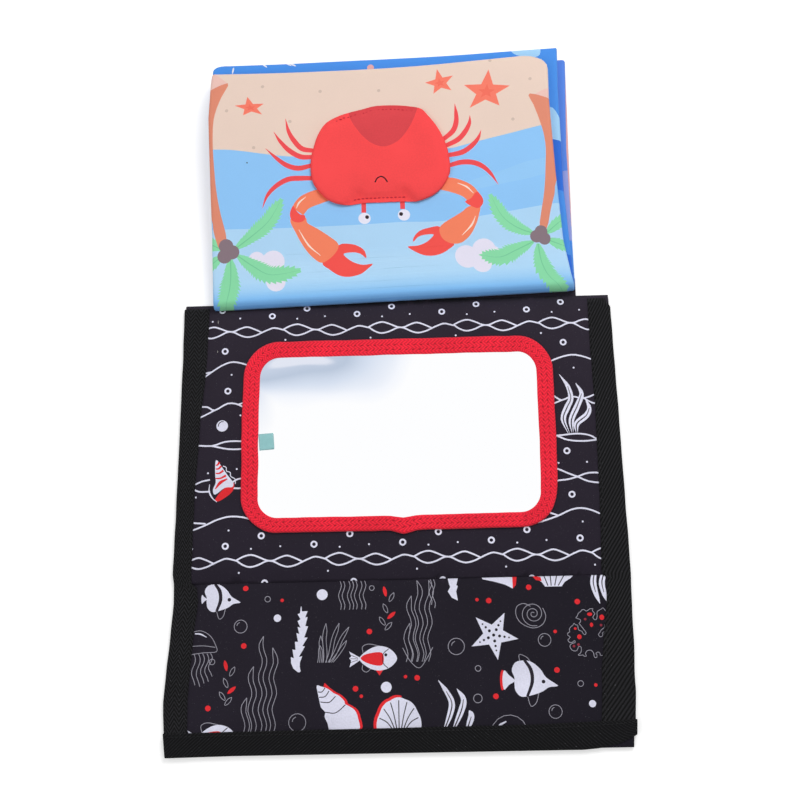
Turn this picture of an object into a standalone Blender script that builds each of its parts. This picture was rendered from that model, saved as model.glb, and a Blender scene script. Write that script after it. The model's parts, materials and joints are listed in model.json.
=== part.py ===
"""Tummy time book: a soft floor book for a baby, lying open and flat.

A padded panel with a mirror lies in the middle. A base flap is hinged to its front
edge and a cloth book of four leaves to its back edge, so that panel, flap and last leaf
can stand up as a tent with the pages behind the mirror.

Metres, +Z up, +X across the width, +Y from the flap to the far edge of the pages.
The origin is under the middle of the whole book, on the surface it lies on.
"""

import math

import bmesh
import bpy
from mathutils import Matrix, Vector

# Overall sizes
COVER_WIDTH = 0.280
PANEL_LENGTH = 0.183
FLAP_LENGTH = 0.104
LEAF_WIDTH = 0.236
LEAF_LENGTH = 0.165

# Thicknesses of what the layers are cut from
CLOTH = 0.0005
TAPE = 0.0007
PANEL_BOARD = 0.0015
PANEL_FOAM = 0.0020
FLAP_BOARD = 0.0012
CRINKLE_FILM = 0.0005
MIRROR = 0.0010
TAB_FILM = 0.0003

# Space between layers that touch, and between the ends of two hinged panels
FIT_GAP = 0.0003
HINGE_GAP = 0.0005

# Edge tapes, folded over the edges of the cover
TAPE_WIDTH = 0.015
TAPE_FOLD = 0.0005
WEBBING_WIDTH = 0.018
WEBBING_OVERHANG = 0.0026

# Padded rise from a sewn edge to the full height, and the cloth's step up to it below
PANEL_SHOULDER = 0.012
FLAP_SHOULDER = 0.008
BOARD_INSET_SHARE = 0.75
SAG_INSET_SHARE = 0.25
BOARD_CORNER = 0.005

# Mirror and the tape frame that holds it
FRAME_WIDTH = 0.2036
FRAME_HEIGHT = 0.126
FRAME_CORNER = 0.024
FRAME_TAPE_WIDTH = 0.011
FRAME_TAPE = 0.0009
FRAME_TO_RIDGE = 0.025
MIRROR_INSET = 0.004
FRAME_STEP = 0.0015

# Pull tab of the film on the mirror
TAB_WIDTH = 0.009
TAB_HEIGHT = 0.010
TAB_TO_FRAME = 0.0008
TAB_BELOW_MIDDLE = 0.004
TAB_CORNER = 0.0006

# Hook and loop strips, and the strip that the leaves are sewn to
STRIP_WIDTH = 0.020
STRIP_LENGTH = 0.200
STRIP_MARGIN = 0.004
STRIP_CORNER = 0.003
SPINE_WIDTH = 0.015
SPINE_CORNER = 0.002

# Leaves
LEAF_CORNER = 0.006
LEAF_SEAM = 0.004
FAR_EDGE_SPREAD = 0.004
LEAVES = 4

# Padded crab on the top leaf
CRAB_WIDTH = 0.095
CRAB_DEPTH = 0.067
CRAB_FROM_RIDGE = 0.098
CRAB_SIDE_SHIFT = 0.004
CRAB_WADDING_EDGE = 0.0006
CRAB_CROWN = 0.0034
CRAB_ROUNDNESS = 2.5
CRAB_RING_SHARES = (0.35, 0.6, 0.8, 0.92, 1.0)

# How finely curves are cut
CORNER_STEPS = 6
SHOULDER_STEPS = 4
LEAF_STEPS = 8
CRAB_SPOKES = 32

# Places along Y
total_length = FLAP_LENGTH + PANEL_LENGTH + LEAF_LENGTH
front_y = -total_length / 2
crease_y = front_y + FLAP_LENGTH
ridge_y = crease_y + PANEL_LENGTH
far_y = ridge_y + LEAF_LENGTH
flap_end_y = crease_y - HINGE_GAP / 2
panel_front_y = crease_y + HINGE_GAP / 2
panel_back_y = ridge_y - HINGE_GAP / 2
leaf_near_y = ridge_y + HINGE_GAP / 2

# Places across X: where the cover's cloth ends inside the tape, and the tape's inner edge
cloth_edge_x = COVER_WIDTH / 2 - TAPE - FIT_GAP
tape_inner_x = COVER_WIDTH / 2 - TAPE_WIDTH

# Heights
under_z = TAPE + FIT_GAP
edge_z = under_z + CLOTH + FIT_GAP
tape_stack = edge_z + CLOTH + FIT_GAP + TAPE
board_z = CLOTH + FIT_GAP
foam_z = board_z + PANEL_BOARD + FIT_GAP
panel_cover_z = foam_z + PANEL_FOAM + FIT_GAP
mirror_z = panel_cover_z + CLOTH + FIT_GAP
mirror_top_z = mirror_z + MIRROR + FIT_GAP
flap_board_z = under_z + CLOTH + FIT_GAP
flap_cover_z = flap_board_z + FLAP_BOARD + FIT_GAP
film_rise = CLOTH + FIT_GAP
top_sheet_rise = film_rise + CRINKLE_FILM + FIT_GAP
leaf_thickness = top_sheet_rise + CLOTH
leaf_pitch = leaf_thickness + FIT_GAP


def clear_scene():
    for item in list(bpy.data.objects):
        bpy.data.objects.remove(item, do_unlink=True)


def material(name, color, roughness, metallic=0.0):
    made = bpy.data.materials.new(name)
    made.use_nodes = True
    shader = made.node_tree.nodes["Principled BSDF"]
    shader.inputs["Base Color"].default_value = (*color, 1.0)
    shader.inputs["Roughness"].default_value = roughness
    shader.inputs["Metallic"].default_value = metallic
    made.diffuse_color = (*color, 1.0)
    return made


def pivot(name, y, z):
    """An empty on a hinge's axis, which runs along X."""
    empty = bpy.data.objects.new(name, None)
    empty.location = (0, y, z)
    bpy.context.scene.collection.objects.link(empty)
    return empty


def add_object(name, shape, finish, parent=None):
    """Turns a bmesh made in place into a named object that hangs on its hinge's empty."""
    bmesh.ops.recalc_face_normals(shape, faces=shape.faces)
    mesh = bpy.data.meshes.new(name)
    shape.to_mesh(mesh)
    shape.free()
    mesh.materials.append(finish)
    made = bpy.data.objects.new(name, mesh)
    bpy.context.scene.collection.objects.link(made)
    if parent:
        mesh.transform(Matrix.Translation(-parent.location))
        made.parent = parent
    return made


def raise_sheet(shape, top):
    """Gives a sheet its thickness: a copy of it goes up to the heights that top gives."""
    raised = bmesh.ops.extrude_face_region(shape, geom=shape.faces[:])
    for item in raised["geom"]:
        if isinstance(item, bmesh.types.BMVert):
            item.co.z = top(item.co.x, item.co.y)


def grid_solid(xs, ys, bottom, top, half_width=None):
    """A sheet between two height functions, on a grid of lines at xs and ys.

    Where half_width is given, the sheet's rows narrow to it, for rounded corners.
    Each cell is split along the diagonal that points to the middle, as a mitre does.
    """
    shape = bmesh.new()
    bmesh.ops.create_grid(shape, x_segments=len(xs) - 1, y_segments=len(ys) - 1, size=1)
    across, along = len(xs) - 1, len(ys) - 1
    for vert in shape.verts:
        x = xs[round((vert.co.x + 1) / 2 * across)]
        y = ys[round((vert.co.y + 1) / 2 * along)]
        if half_width:
            x *= half_width(y) / xs[-1]
        vert.co = Vector((x, y, bottom(x, y)))
    middle_x, middle_y = (xs[0] + xs[-1]) / 2, (ys[0] + ys[-1]) / 2
    mitres = {"FIXED": [], "ALTERNATE": []}
    for face in shape.faces:
        centre = face.calc_center_median()
        first, third = face.verts[0].co, face.verts[2].co
        rises = (third.x - first.x) * (third.y - first.y) > 0
        wanted = (centre.x - middle_x) * (centre.y - middle_y) > 0
        mitres["FIXED" if rises == wanted else "ALTERNATE"].append(face)
    for method, faces in mitres.items():
        bmesh.ops.triangulate(shape, faces=faces, quad_method=method)
    raise_sheet(shape, top)
    return shape


def rounded_rectangle(low, high, radius):
    """Points round a rectangle with rounded corners, from its lowest to its highest corner."""
    points = []
    corners = ((high[0], high[1], 0), (low[0], high[1], 1), (low[0], low[1], 2), (high[0], low[1], 3))
    for x, y, quarter in corners:
        centre_x = x - radius if x == high[0] else x + radius
        centre_y = y - radius if y == high[1] else y + radius
        for step in range(CORNER_STEPS + 1):
            angle = (quarter + step / CORNER_STEPS) * math.pi / 2
            points.append((centre_x + radius * math.cos(angle), centre_y + radius * math.sin(angle)))
    return points


def plate(low, high, radius, bottom, thickness):
    """A flat plate with rounded corners."""
    shape = bmesh.new()
    outline = rounded_rectangle(low, high, radius)
    shape.faces.new([shape.verts.new((x, y, bottom)) for x, y in outline])
    raise_sheet(shape, lambda x, y: bottom + thickness)
    return shape


def folded_tape(width, place, start, end):
    """A tape folded over an edge of the cover: its U-shaped section, drawn from start to end.

    place turns a distance in from the edge and a height into a point at start.
    """
    section = (
        (width, 0), (TAPE_FOLD, 0), (0, TAPE_FOLD), (0, tape_stack - TAPE_FOLD),
        (TAPE_FOLD, tape_stack), (width, tape_stack), (width, tape_stack - TAPE),
        (TAPE, tape_stack - TAPE), (TAPE, TAPE), (width, TAPE),
    )
    shape = bmesh.new()
    face = shape.faces.new([shape.verts.new(place(inwards, z, start)) for inwards, z in section])
    drawn = bmesh.ops.extrude_face_region(shape, geom=[face])
    shift = Vector(place(0, 0, end)) - Vector(place(0, 0, start))
    verts = [item for item in drawn["geom"] if isinstance(item, bmesh.types.BMVert)]
    bmesh.ops.translate(shape, verts=verts, vec=shift)
    return shape


def padded_lines(low, high, shoulder, edge_low=None, edge_high=None):
    """Grid lines across a padded field, closer together where its edges rise."""
    steps = [shoulder * step / SHOULDER_STEPS for step in range(SHOULDER_STEPS + 1)]
    lines = [low + step for step in steps] + [high - step for step in reversed(steps)]
    if edge_low is not None:
        lines.insert(0, edge_low)
    if edge_high is not None:
        lines.append(edge_high)
    return lines


def inset_from(field, x, y):
    """How far a point lies inside a field, given as its low and high corners."""
    (low_x, low_y), (high_x, high_y) = field
    return max(0, min(x - low_x, high_x - x, y - low_y, high_y - y))


def swell(inset, shoulder, low, high):
    """The padded cloth's height: it rises from the sewn edge and is level past the shoulder."""
    share = min(1, inset / shoulder)
    return low + (high - low) * math.sin(share * math.pi / 2)


def inner_field(field, inset):
    (low_x, low_y), (high_x, high_y) = field
    return (low_x + inset, low_y + inset), (high_x - inset, high_y - inset)


def make_panel(finishes):
    """The mirror panel: two cloth covers round a board and foam, with tape on both sides."""
    field = (-tape_inner_x, panel_front_y), (tape_inner_x, panel_back_y)
    xs = padded_lines(-tape_inner_x, tape_inner_x, PANEL_SHOULDER, -cloth_edge_x, cloth_edge_x)
    ys = padded_lines(panel_front_y, panel_back_y, PANEL_SHOULDER)

    def cover_bottom(x, y):
        return swell(inset_from(field, x, y), PANEL_SHOULDER, edge_z, panel_cover_z)

    def back_bottom(x, y):
        sag = min(1, inset_from(field, x, y) / (PANEL_SHOULDER * SAG_INSET_SHARE))
        return under_z * (1 - sag)

    front = grid_solid(xs, ys, cover_bottom, lambda x, y: cover_bottom(x, y) + CLOTH)
    add_object("mirror_cover_front", front, finishes["wave_cloth"])
    back = grid_solid(xs, ys, back_bottom, lambda x, y: back_bottom(x, y) + CLOTH)
    add_object("mirror_cover_back", back, finishes["black_cloth"])

    inset = PANEL_SHOULDER * BOARD_INSET_SHARE
    low, high = inner_field(field, inset)
    add_object("panel_board", plate(low, high, BOARD_CORNER, board_z, PANEL_BOARD), finishes["board"])
    foam_xs = [low[0], low[0] + PANEL_SHOULDER - inset, high[0] - PANEL_SHOULDER + inset, high[0]]
    foam_ys = [low[1], low[1] + PANEL_SHOULDER - inset, high[1] - PANEL_SHOULDER + inset, high[1]]
    foam = grid_solid(foam_xs, foam_ys, lambda x, y: foam_z, lambda x, y: cover_bottom(x, y) - FIT_GAP)
    add_object("panel_foam", foam, finishes["foam"])

    for side, name in ((-1, "panel_tape_left"), (1, "panel_tape_right")):
        def place(inwards, z, y, side=side):
            return side * (COVER_WIDTH / 2 - inwards), y, z

        tape = folded_tape(TAPE_WIDTH, place, panel_front_y, panel_back_y)
        add_object(name, tape, finishes["black_tape"])


def frame_corners():
    top_y = ridge_y - FRAME_TO_RIDGE
    return (-FRAME_WIDTH / 2, top_y - FRAME_HEIGHT), (FRAME_WIDTH / 2, top_y)


def make_mirror(finishes):
    """The mirror sheet, the red tape sewn down over its edge, and its film's pull tab."""
    outer_low, outer_high = frame_corners()
    low, high = inner_field((outer_low, outer_high), MIRROR_INSET)
    sheet = plate(low, high, FRAME_CORNER - MIRROR_INSET, mirror_z, MIRROR)
    add_object("mirror_sheet", sheet, finishes["mirror"])

    foot = MIRROR_INSET - FIT_GAP
    section = (
        (0, mirror_z), (foot, mirror_z), (foot, mirror_top_z), (FRAME_TAPE_WIDTH, mirror_top_z),
        (FRAME_TAPE_WIDTH, mirror_top_z + FRAME_TAPE), (foot + FRAME_STEP, mirror_top_z + FRAME_TAPE),
        (foot - FRAME_STEP, mirror_z + FRAME_TAPE), (0, mirror_z + FRAME_TAPE),
    )
    shape = bmesh.new()
    rings = []
    for inwards, z in section:
        corner_low, corner_high = inner_field((outer_low, outer_high), inwards)
        outline = rounded_rectangle(corner_low, corner_high, FRAME_CORNER - inwards)
        rings.append([shape.verts.new((x, y, z)) for x, y in outline])
    for ring, following in zip(rings, rings[1:] + rings[:1]):
        for index in range(len(ring)):
            after = (index + 1) % len(ring)
            shape.faces.new((ring[index], ring[after], following[after], following[index]))
    add_object("mirror_frame_tape", shape, finishes["red_tape"])

    left = outer_low[0] + FRAME_TAPE_WIDTH + TAB_TO_FRAME
    middle = (outer_low[1] + outer_high[1]) / 2 - TAB_BELOW_MIDDLE
    tab = plate(
        (left, middle - TAB_HEIGHT / 2), (left + TAB_WIDTH, middle + TAB_HEIGHT / 2),
        TAB_CORNER, mirror_top_z, TAB_FILM,
    )
    add_object("film_tab", tab, finishes["teal_film"])


def make_flap(finishes, hinge):
    """The base flap: covers round a stiff board, tape on its sides, webbing along its front."""
    webbing_inner_y = front_y + WEBBING_WIDTH
    field = (-tape_inner_x, webbing_inner_y), (tape_inner_x, flap_end_y)
    xs = padded_lines(-tape_inner_x, tape_inner_x, FLAP_SHOULDER, -cloth_edge_x, cloth_edge_x)
    ys = padded_lines(webbing_inner_y, flap_end_y, FLAP_SHOULDER, front_y + TAPE + FIT_GAP)

    def cover_bottom(x, y):
        return swell(inset_from(field, x, y), FLAP_SHOULDER, edge_z, flap_cover_z)

    front = grid_solid(xs, ys, cover_bottom, lambda x, y: cover_bottom(x, y) + CLOTH)
    add_object("flap_cover_front", front, finishes["sea_cloth"], hinge)
    back = grid_solid(
        [xs[0], xs[-1]], [ys[0], ys[-1]], lambda x, y: under_z, lambda x, y: under_z + CLOTH
    )
    add_object("flap_cover_back", back, finishes["black_cloth"], hinge)
    low, high = inner_field(field, FLAP_SHOULDER)
    board = plate(low, high, BOARD_CORNER, flap_board_z, FLAP_BOARD)
    add_object("flap_board", board, finishes["board"], hinge)

    for side, name in ((-1, "flap_tape_left"), (1, "flap_tape_right")):
        def place(inwards, z, y, side=side):
            return side * (COVER_WIDTH / 2 - inwards), y, z

        tape = folded_tape(TAPE_WIDTH, place, webbing_inner_y + FIT_GAP, flap_end_y)
        add_object(name, tape, finishes["black_tape"], hinge)

    webbing_end = COVER_WIDTH / 2 + WEBBING_OVERHANG
    webbing = folded_tape(
        WEBBING_WIDTH, lambda inwards, z, x: (x, front_y + inwards, z), -webbing_end, webbing_end
    )
    add_object("bottom_webbing", webbing, finishes["black_tape"], hinge)

    strip_y = webbing_inner_y + STRIP_MARGIN
    strip = plate(
        (-STRIP_LENGTH / 2, strip_y), (STRIP_LENGTH / 2, strip_y + STRIP_WIDTH), STRIP_CORNER, 0, TAPE
    )
    add_object("hook_strip", strip, finishes["hook"], hinge)


def leaf_height(below, y):
    """The underside of the leaf that has this many leaves below it.

    It leaves the ridge in the stack and curves up to its place in the fanned far edge.
    """
    along = (y - leaf_near_y) / (far_y - leaf_near_y)
    lift = below * FAR_EDGE_SPREAD * math.sin(along * math.pi / 2)
    return under_z + below * leaf_pitch + lift


def leaf_half_width(y, half, corner, end_y):
    """Half of a sheet's width at y, less at its rounded far corners."""
    over = max(0, y - (end_y - corner))
    return half - corner + math.sqrt(max(0, corner**2 - over**2))


def leaf_sheet(below, inset, rise, thickness):
    """One sheet of a leaf, set in from the leaf's edges, at its height inside the leaf."""
    half, corner = LEAF_WIDTH / 2 - inset, LEAF_CORNER
    start, end = leaf_near_y + inset, far_y - inset
    straight = end - corner - start
    ys = [start + straight * step / LEAF_STEPS for step in range(LEAF_STEPS)]
    turns = [step / CORNER_STEPS * math.pi / 2 for step in range(CORNER_STEPS)]
    ys += [end - corner + corner * math.sin(turn) for turn in turns]
    ys.append(end)

    def bottom(x, y):
        return leaf_height(below, y) + rise

    return grid_solid(
        [-half, 0, half], ys, bottom, lambda x, y: bottom(x, y) + thickness,
        lambda y: leaf_half_width(y, half, corner, end),
    )


def make_leaf(number, finishes, hinge):
    """A leaf: two printed sheets with crinkle film between them, sewn at the ridge."""
    below = LEAVES - number
    front = leaf_sheet(below, 0, top_sheet_rise, CLOTH)
    add_object(f"leaf_{number}_front", front, finishes[f"leaf_{number}"], hinge)
    film = leaf_sheet(below, LEAF_SEAM, film_rise, CRINKLE_FILM)
    add_object(f"leaf_{number}_film", film, finishes["film"], hinge)
    back = leaf_sheet(below, 0, 0, CLOTH)
    add_object(f"leaf_{number}_back", back, finishes[f"leaf_{number}"], hinge)


def make_book_back(finishes, hinge):
    """What the pages hang on: the last leaf, the spine strip under it and its loop strip."""
    make_leaf(LEAVES, finishes, hinge)
    spine = plate(
        (-LEAF_WIDTH / 2, leaf_near_y), (LEAF_WIDTH / 2, leaf_near_y + SPINE_WIDTH),
        SPINE_CORNER, 0, TAPE,
    )
    add_object("spine_strip", spine, finishes["black_tape"], hinge)
    strip_y = far_y - STRIP_MARGIN - STRIP_WIDTH
    strip = plate(
        (-STRIP_LENGTH / 2, strip_y), (STRIP_LENGTH / 2, strip_y + STRIP_WIDTH), STRIP_CORNER, 0, TAPE
    )
    add_object("loop_strip", strip, finishes["hook"], hinge)


def crab_outline(turn, share):
    """A point of the crab's broad, blunt oval, at a share of the way out from its middle."""
    cosine, sine = math.cos(turn), math.sin(turn)
    x = math.copysign(abs(cosine) ** (2 / CRAB_ROUNDNESS), cosine) * CRAB_WIDTH / 2
    y = math.copysign(abs(sine) ** (2 / CRAB_ROUNDNESS), sine) * CRAB_DEPTH / 2
    return x * share - CRAB_SIDE_SHIFT, y * share + leaf_near_y + CRAB_FROM_RIDGE


def crab_layer(shares, bottom_rises, thicknesses):
    """A crowned layer on the top leaf, from its height over the leaf and thickness at each ring."""
    shape = bmesh.new()
    below = LEAVES - 1

    def leaf_top(y):
        return leaf_height(below, y) + leaf_pitch

    def surface(rises):
        x, y = crab_outline(0, 0)
        rings = [[shape.verts.new((x, y, leaf_top(y) + rises[0]))]]
        for share, rise in zip(shares, rises[1:]):
            ring = []
            for spoke in range(CRAB_SPOKES):
                x, y = crab_outline(2 * math.pi * spoke / CRAB_SPOKES, share)
                ring.append(shape.verts.new((x, y, leaf_top(y) + rise)))
            rings.append(ring)
        for spoke in range(CRAB_SPOKES):
            after = (spoke + 1) % CRAB_SPOKES
            shape.faces.new((rings[0][0], rings[1][spoke], rings[1][after]))
            for inner, outer in zip(rings[1:], rings[2:]):
                shape.faces.new((inner[spoke], outer[spoke], outer[after]))
                shape.faces.new((inner[spoke], outer[after], inner[after]))
        return rings[-1]

    lower = surface(bottom_rises)
    upper = surface([rise + thickness for rise, thickness in zip(bottom_rises, thicknesses)])
    for spoke in range(CRAB_SPOKES):
        after = (spoke + 1) % CRAB_SPOKES
        shape.faces.new((lower[spoke], lower[after], upper[after], upper[spoke]))
    return shape


def make_crab(finishes, hinge):
    """The padded crab: a flat backing, wadding with a crown, and the red cloth over it."""
    shares = CRAB_RING_SHARES
    wadding_z = CLOTH + FIT_GAP
    crowns = [CRAB_CROWN * math.sqrt(1 - (share / shares[-1]) ** 2) for share in (0, *shares)]
    wadding = [CRAB_WADDING_EDGE + crown for crown in crowns]
    count = len(crowns)

    backing = crab_layer(shares, [0] * count, [CLOTH] * count)
    add_object("crab_backing", backing, finishes["crab_cloth"], hinge)
    filling = crab_layer(shares[:-1], [wadding_z] * (count - 1), wadding[:-1])
    add_object("crab_wadding", filling, finishes["foam"], hinge)
    over = [wadding_z + thickness + FIT_GAP for thickness in wadding[:-1]] + [wadding_z]
    cover = crab_layer(shares, over, [CLOTH] * count)
    add_object("crab_cover", cover, finishes["crab_cloth"], hinge)


def make_finishes():
    return {
        "wave_cloth": material("wave_cloth", (0.030, 0.024, 0.034), 0.75),
        "sea_cloth": material("sea_cloth", (0.030, 0.024, 0.034), 0.75),
        "black_cloth": material("black_cloth", (0.018, 0.017, 0.020), 0.80),
        "black_tape": material("black_tape", (0.010, 0.010, 0.011), 0.85),
        "red_tape": material("red_tape", (0.745, 0.026, 0.032), 0.80),
        "mirror": material("mirror", (0.920, 0.930, 0.940), 0.04, 1.0),
        "teal_film": material("teal_film", (0.250, 0.520, 0.530), 0.40),
        "board": material("board", (0.620, 0.610, 0.580), 0.70),
        "foam": material("foam", (0.850, 0.850, 0.820), 0.95),
        "film": material("film", (0.800, 0.820, 0.850), 0.25),
        "hook": material("hook", (0.015, 0.015, 0.016), 0.95),
        "leaf_1": material("leaf_1", (0.270, 0.570, 0.910), 0.70),
        "leaf_2": material("leaf_2", (0.061, 0.283, 0.831), 0.70),
        "leaf_3": material("leaf_3", (0.120, 0.210, 0.800), 0.70),
        "leaf_4": material("leaf_4", (0.520, 0.520, 0.871), 0.70),
        "crab_cloth": material("crab_cloth", (0.871, 0.084, 0.080), 0.65),
    }


def main():
    clear_scene()
    finishes = make_finishes()
    make_panel(finishes)
    make_mirror(finishes)
    make_flap(finishes, pivot("flap_hinge", crease_y, 0))
    book_hinge = pivot("book_hinge", ridge_y, 0)
    make_book_back(finishes, book_hinge)
    # One seam holds all pages, so they turn about one line, under the top page's near edge.
    page_seam_z = leaf_height(LEAVES - 1, leaf_near_y)
    for number in range(LEAVES - 1, 0, -1):
        page_hinge = pivot(f"page_hinge_{number}", leaf_near_y, page_seam_z)
        make_leaf(number, finishes, page_hinge)
        if number == 1:
            make_crab(finishes, page_hinge)


main()
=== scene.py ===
"""The looks of the tummy time book: printed cloth, woven tapes, mirror, pages and padded crab.

Lengths are in millimetres, and become metres where a mesh is made. Places on the cover and its
prints are measured from the cover's datum, and places on a leaf from the middle of its sewn edge.
"""

import json
import math

import bmesh
import bpy
import numpy as np
from mathutils import Matrix, Vector, noise
from mathutils.bvhtree import BVHTree
from mathutils.geometry import delaunay_2d_cdt


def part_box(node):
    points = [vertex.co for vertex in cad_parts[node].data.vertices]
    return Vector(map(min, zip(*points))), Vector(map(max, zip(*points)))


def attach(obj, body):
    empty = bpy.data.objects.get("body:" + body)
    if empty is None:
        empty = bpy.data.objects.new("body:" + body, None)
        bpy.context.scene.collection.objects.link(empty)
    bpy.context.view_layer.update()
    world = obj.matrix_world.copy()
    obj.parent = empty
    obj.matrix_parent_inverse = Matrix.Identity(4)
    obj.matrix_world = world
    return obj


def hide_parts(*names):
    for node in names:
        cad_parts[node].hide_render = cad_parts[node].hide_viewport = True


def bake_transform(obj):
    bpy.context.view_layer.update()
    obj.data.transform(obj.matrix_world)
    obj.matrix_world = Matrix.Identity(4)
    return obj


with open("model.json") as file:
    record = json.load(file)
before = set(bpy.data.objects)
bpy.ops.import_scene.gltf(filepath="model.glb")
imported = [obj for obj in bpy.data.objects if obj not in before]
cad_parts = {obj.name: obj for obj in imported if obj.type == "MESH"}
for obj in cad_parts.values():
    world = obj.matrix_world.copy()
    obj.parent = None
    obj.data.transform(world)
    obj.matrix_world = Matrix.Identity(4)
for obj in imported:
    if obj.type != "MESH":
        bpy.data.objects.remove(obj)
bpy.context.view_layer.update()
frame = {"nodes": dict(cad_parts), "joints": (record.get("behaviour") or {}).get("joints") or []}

MM = 0.001


# Sizes, taken from the frame

def low_mm(node):
    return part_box(node)[0] / MM


def high_mm(node):
    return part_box(node)[1] / MM


def hinge_y(name):
    return next(joint["pos_m"][1] for joint in frame["joints"] if joint["name"] == name) / MM


crease_y = hinge_y("base_fold")
ridge_y = hinge_y("book_fold")
cloth_edge_x = high_mm("mirror_cover_front").x
cover_edge_x = high_mm("panel_tape_right").x
tape_inner_x = low_mm("panel_tape_right").x
panel_top_z = high_mm("mirror_cover_front").z
flap_top_z = high_mm("flap_cover_front").z
webbing_low, webbing_high = low_mm("bottom_webbing"), high_mm("bottom_webbing")
webbing_width = webbing_high.y - webbing_low.y
leaf_low, leaf_high = low_mm("leaf_4_front"), high_mm("leaf_4_front")
leaf_width, leaf_length = leaf_high.x - leaf_low.x, leaf_high.y - leaf_low.y
frame_low, frame_high = low_mm("mirror_frame_tape"), high_mm("mirror_frame_tape")

CLOTH_THICK = 0.5
TAPE_THICK = 0.7
EDGE_TOP_Z = 2.3
PANEL_SHOULDER = 12.0
FLAP_SHOULDER = 8.0
DATUM_FROM_CREASE = 118.5
datum_y = crease_y + DATUM_FROM_CREASE
crease_at = crease_y - datum_y
ridge_at = ridge_y - datum_y
front_at = webbing_low.y - datum_y


# Shader nodes, objects and meshes

def add_node(tree, kind, values=(), **settings):
    """A node with its settings. Values pairs its inputs with a value, or a socket to link."""
    node = tree.nodes.new("ShaderNode" + kind)
    for label, setting in settings.items():
        setattr(node, label, setting)
    for label, value in dict(values).items():
        if isinstance(value, bpy.types.NodeSocket):
            tree.links.new(value, node.inputs[label])
        else:
            node.inputs[label].default_value = value
    return node


def calc(tree, operation, *values):
    return add_node(tree, "Math", enumerate(values), operation=operation).outputs[0]


def scale_colour(tree, colour, gain):
    return add_node(tree, "VectorMath", {0: colour, "Scale": gain}, operation="SCALE").outputs[0]


def mix_colours(tree, share, first, second, blend_type="MIX"):
    values = {"Factor": share, "A": first, "B": second}
    return add_node(tree, "Mix", values, data_type="RGBA", blend_type=blend_type).outputs["Result"]


def add_object(name, data):
    item = bpy.data.objects.new(name, data)
    bpy.context.scene.collection.objects.link(item)
    return item


def finished_mesh(name, shape):
    data = bpy.data.meshes.new(name)
    shape.to_mesh(data)
    shape.free()
    return data


# Camera

CAMERA_DISTANCE = 0.925
CAMERA_ELEVATION = math.radians(74)
CAMERA_ROLL = math.radians(-1.04)
CAMERA_LENS = 64.53
TARGET_X = 0.0017
TARGET_BEFORE_RIDGE = 0.0656


def add_camera():
    target = Vector((TARGET_X, ridge_y * MM - TARGET_BEFORE_RIDGE, 0))
    back = Vector((0, -math.cos(CAMERA_ELEVATION), math.sin(CAMERA_ELEVATION)))
    right = Vector((1, 0, 0))
    up = back.cross(right)
    rolled_right = right * math.cos(CAMERA_ROLL) + up * math.sin(CAMERA_ROLL)
    rolled_up = up * math.cos(CAMERA_ROLL) - right * math.sin(CAMERA_ROLL)
    data = bpy.data.cameras.new("camera")
    data.lens = CAMERA_LENS
    data.sensor_width = 36
    data.clip_start = 0.01
    camera = add_object("camera", data)
    turn = Matrix((rolled_right, rolled_up, back)).transposed().to_4x4()
    camera.matrix_world = Matrix.Translation(target + back * CAMERA_DISTANCE) @ turn
    bpy.context.scene.camera = camera


# Lights and floor

def add_lamp(name, place, aim, size, watts):
    data = bpy.data.lights.new(name, "AREA")
    data.shape = "DISK"
    data.size = size
    data.energy = watts
    turn = (Vector(aim) - Vector(place)).to_track_quat("-Z", "Y").to_matrix().to_4x4()
    add_object(name, data).matrix_world = Matrix.Translation(place) @ turn


def add_patch(tree, vector, centre, spread):
    """How far into a soft patch of the studio a direction lies: 0 outside it, 1 at its centre."""
    place = add_node(tree, "Mapping", {
        "Vector": vector,
        "Scale": (1 / spread[0], 1 / spread[1], 0),
        "Location": (-centre[0] / spread[0], -centre[1] / spread[1], 0),
    })
    values = {"Vector": place.outputs["Vector"]}
    return add_node(tree, "TexGradient", values, gradient_type="SPHERICAL").outputs["Fac"]


def add_ramp(tree, share, stops_and_colours):
    ramp = add_node(tree, "ValToRGB", {"Fac": share})
    elements = ramp.color_ramp.elements
    while len(elements) < len(stops_and_colours):
        elements.new(0.5)
    for element, (stop, colour) in zip(elements, stops_and_colours):
        element.position = stop
        element.color = (*colour, 1)
    return ramp.outputs["Color"]


WORLD_LIGHT = 0.62
# Each patch of the studio: the x and y of the way to its middle, and how far it spreads.
BAND_PATCH = ((-0.080, 0.3045), (0.092, 0.035))
SIDE_PATCH = ((-0.111, 0.292), (0.032, 0.047))
LENS_PATCH = ((-0.069, 0.300), (0.027, 0.0065))
BAND_COLOURS = (
    (0, (1, 1, 1)), (0.12, (0.92, 0.94, 0.99)), (0.3, (0.68, 0.75, 0.87)),
    (0.5, (0.50, 0.58, 0.71)), (0.75, (0.58, 0.65, 0.78)), (1, (0.61, 0.67, 0.80)),
)
SIDE_COLOURS = ((0, (1, 1, 1)), (1, (0.54, 0.62, 0.82)))
LENS_SHARES = ((0, (0, 0, 0)), (0.2, (1, 1, 1)))
LENS_COLOUR = (0.77, 0.80, 0.89, 1)


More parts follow.
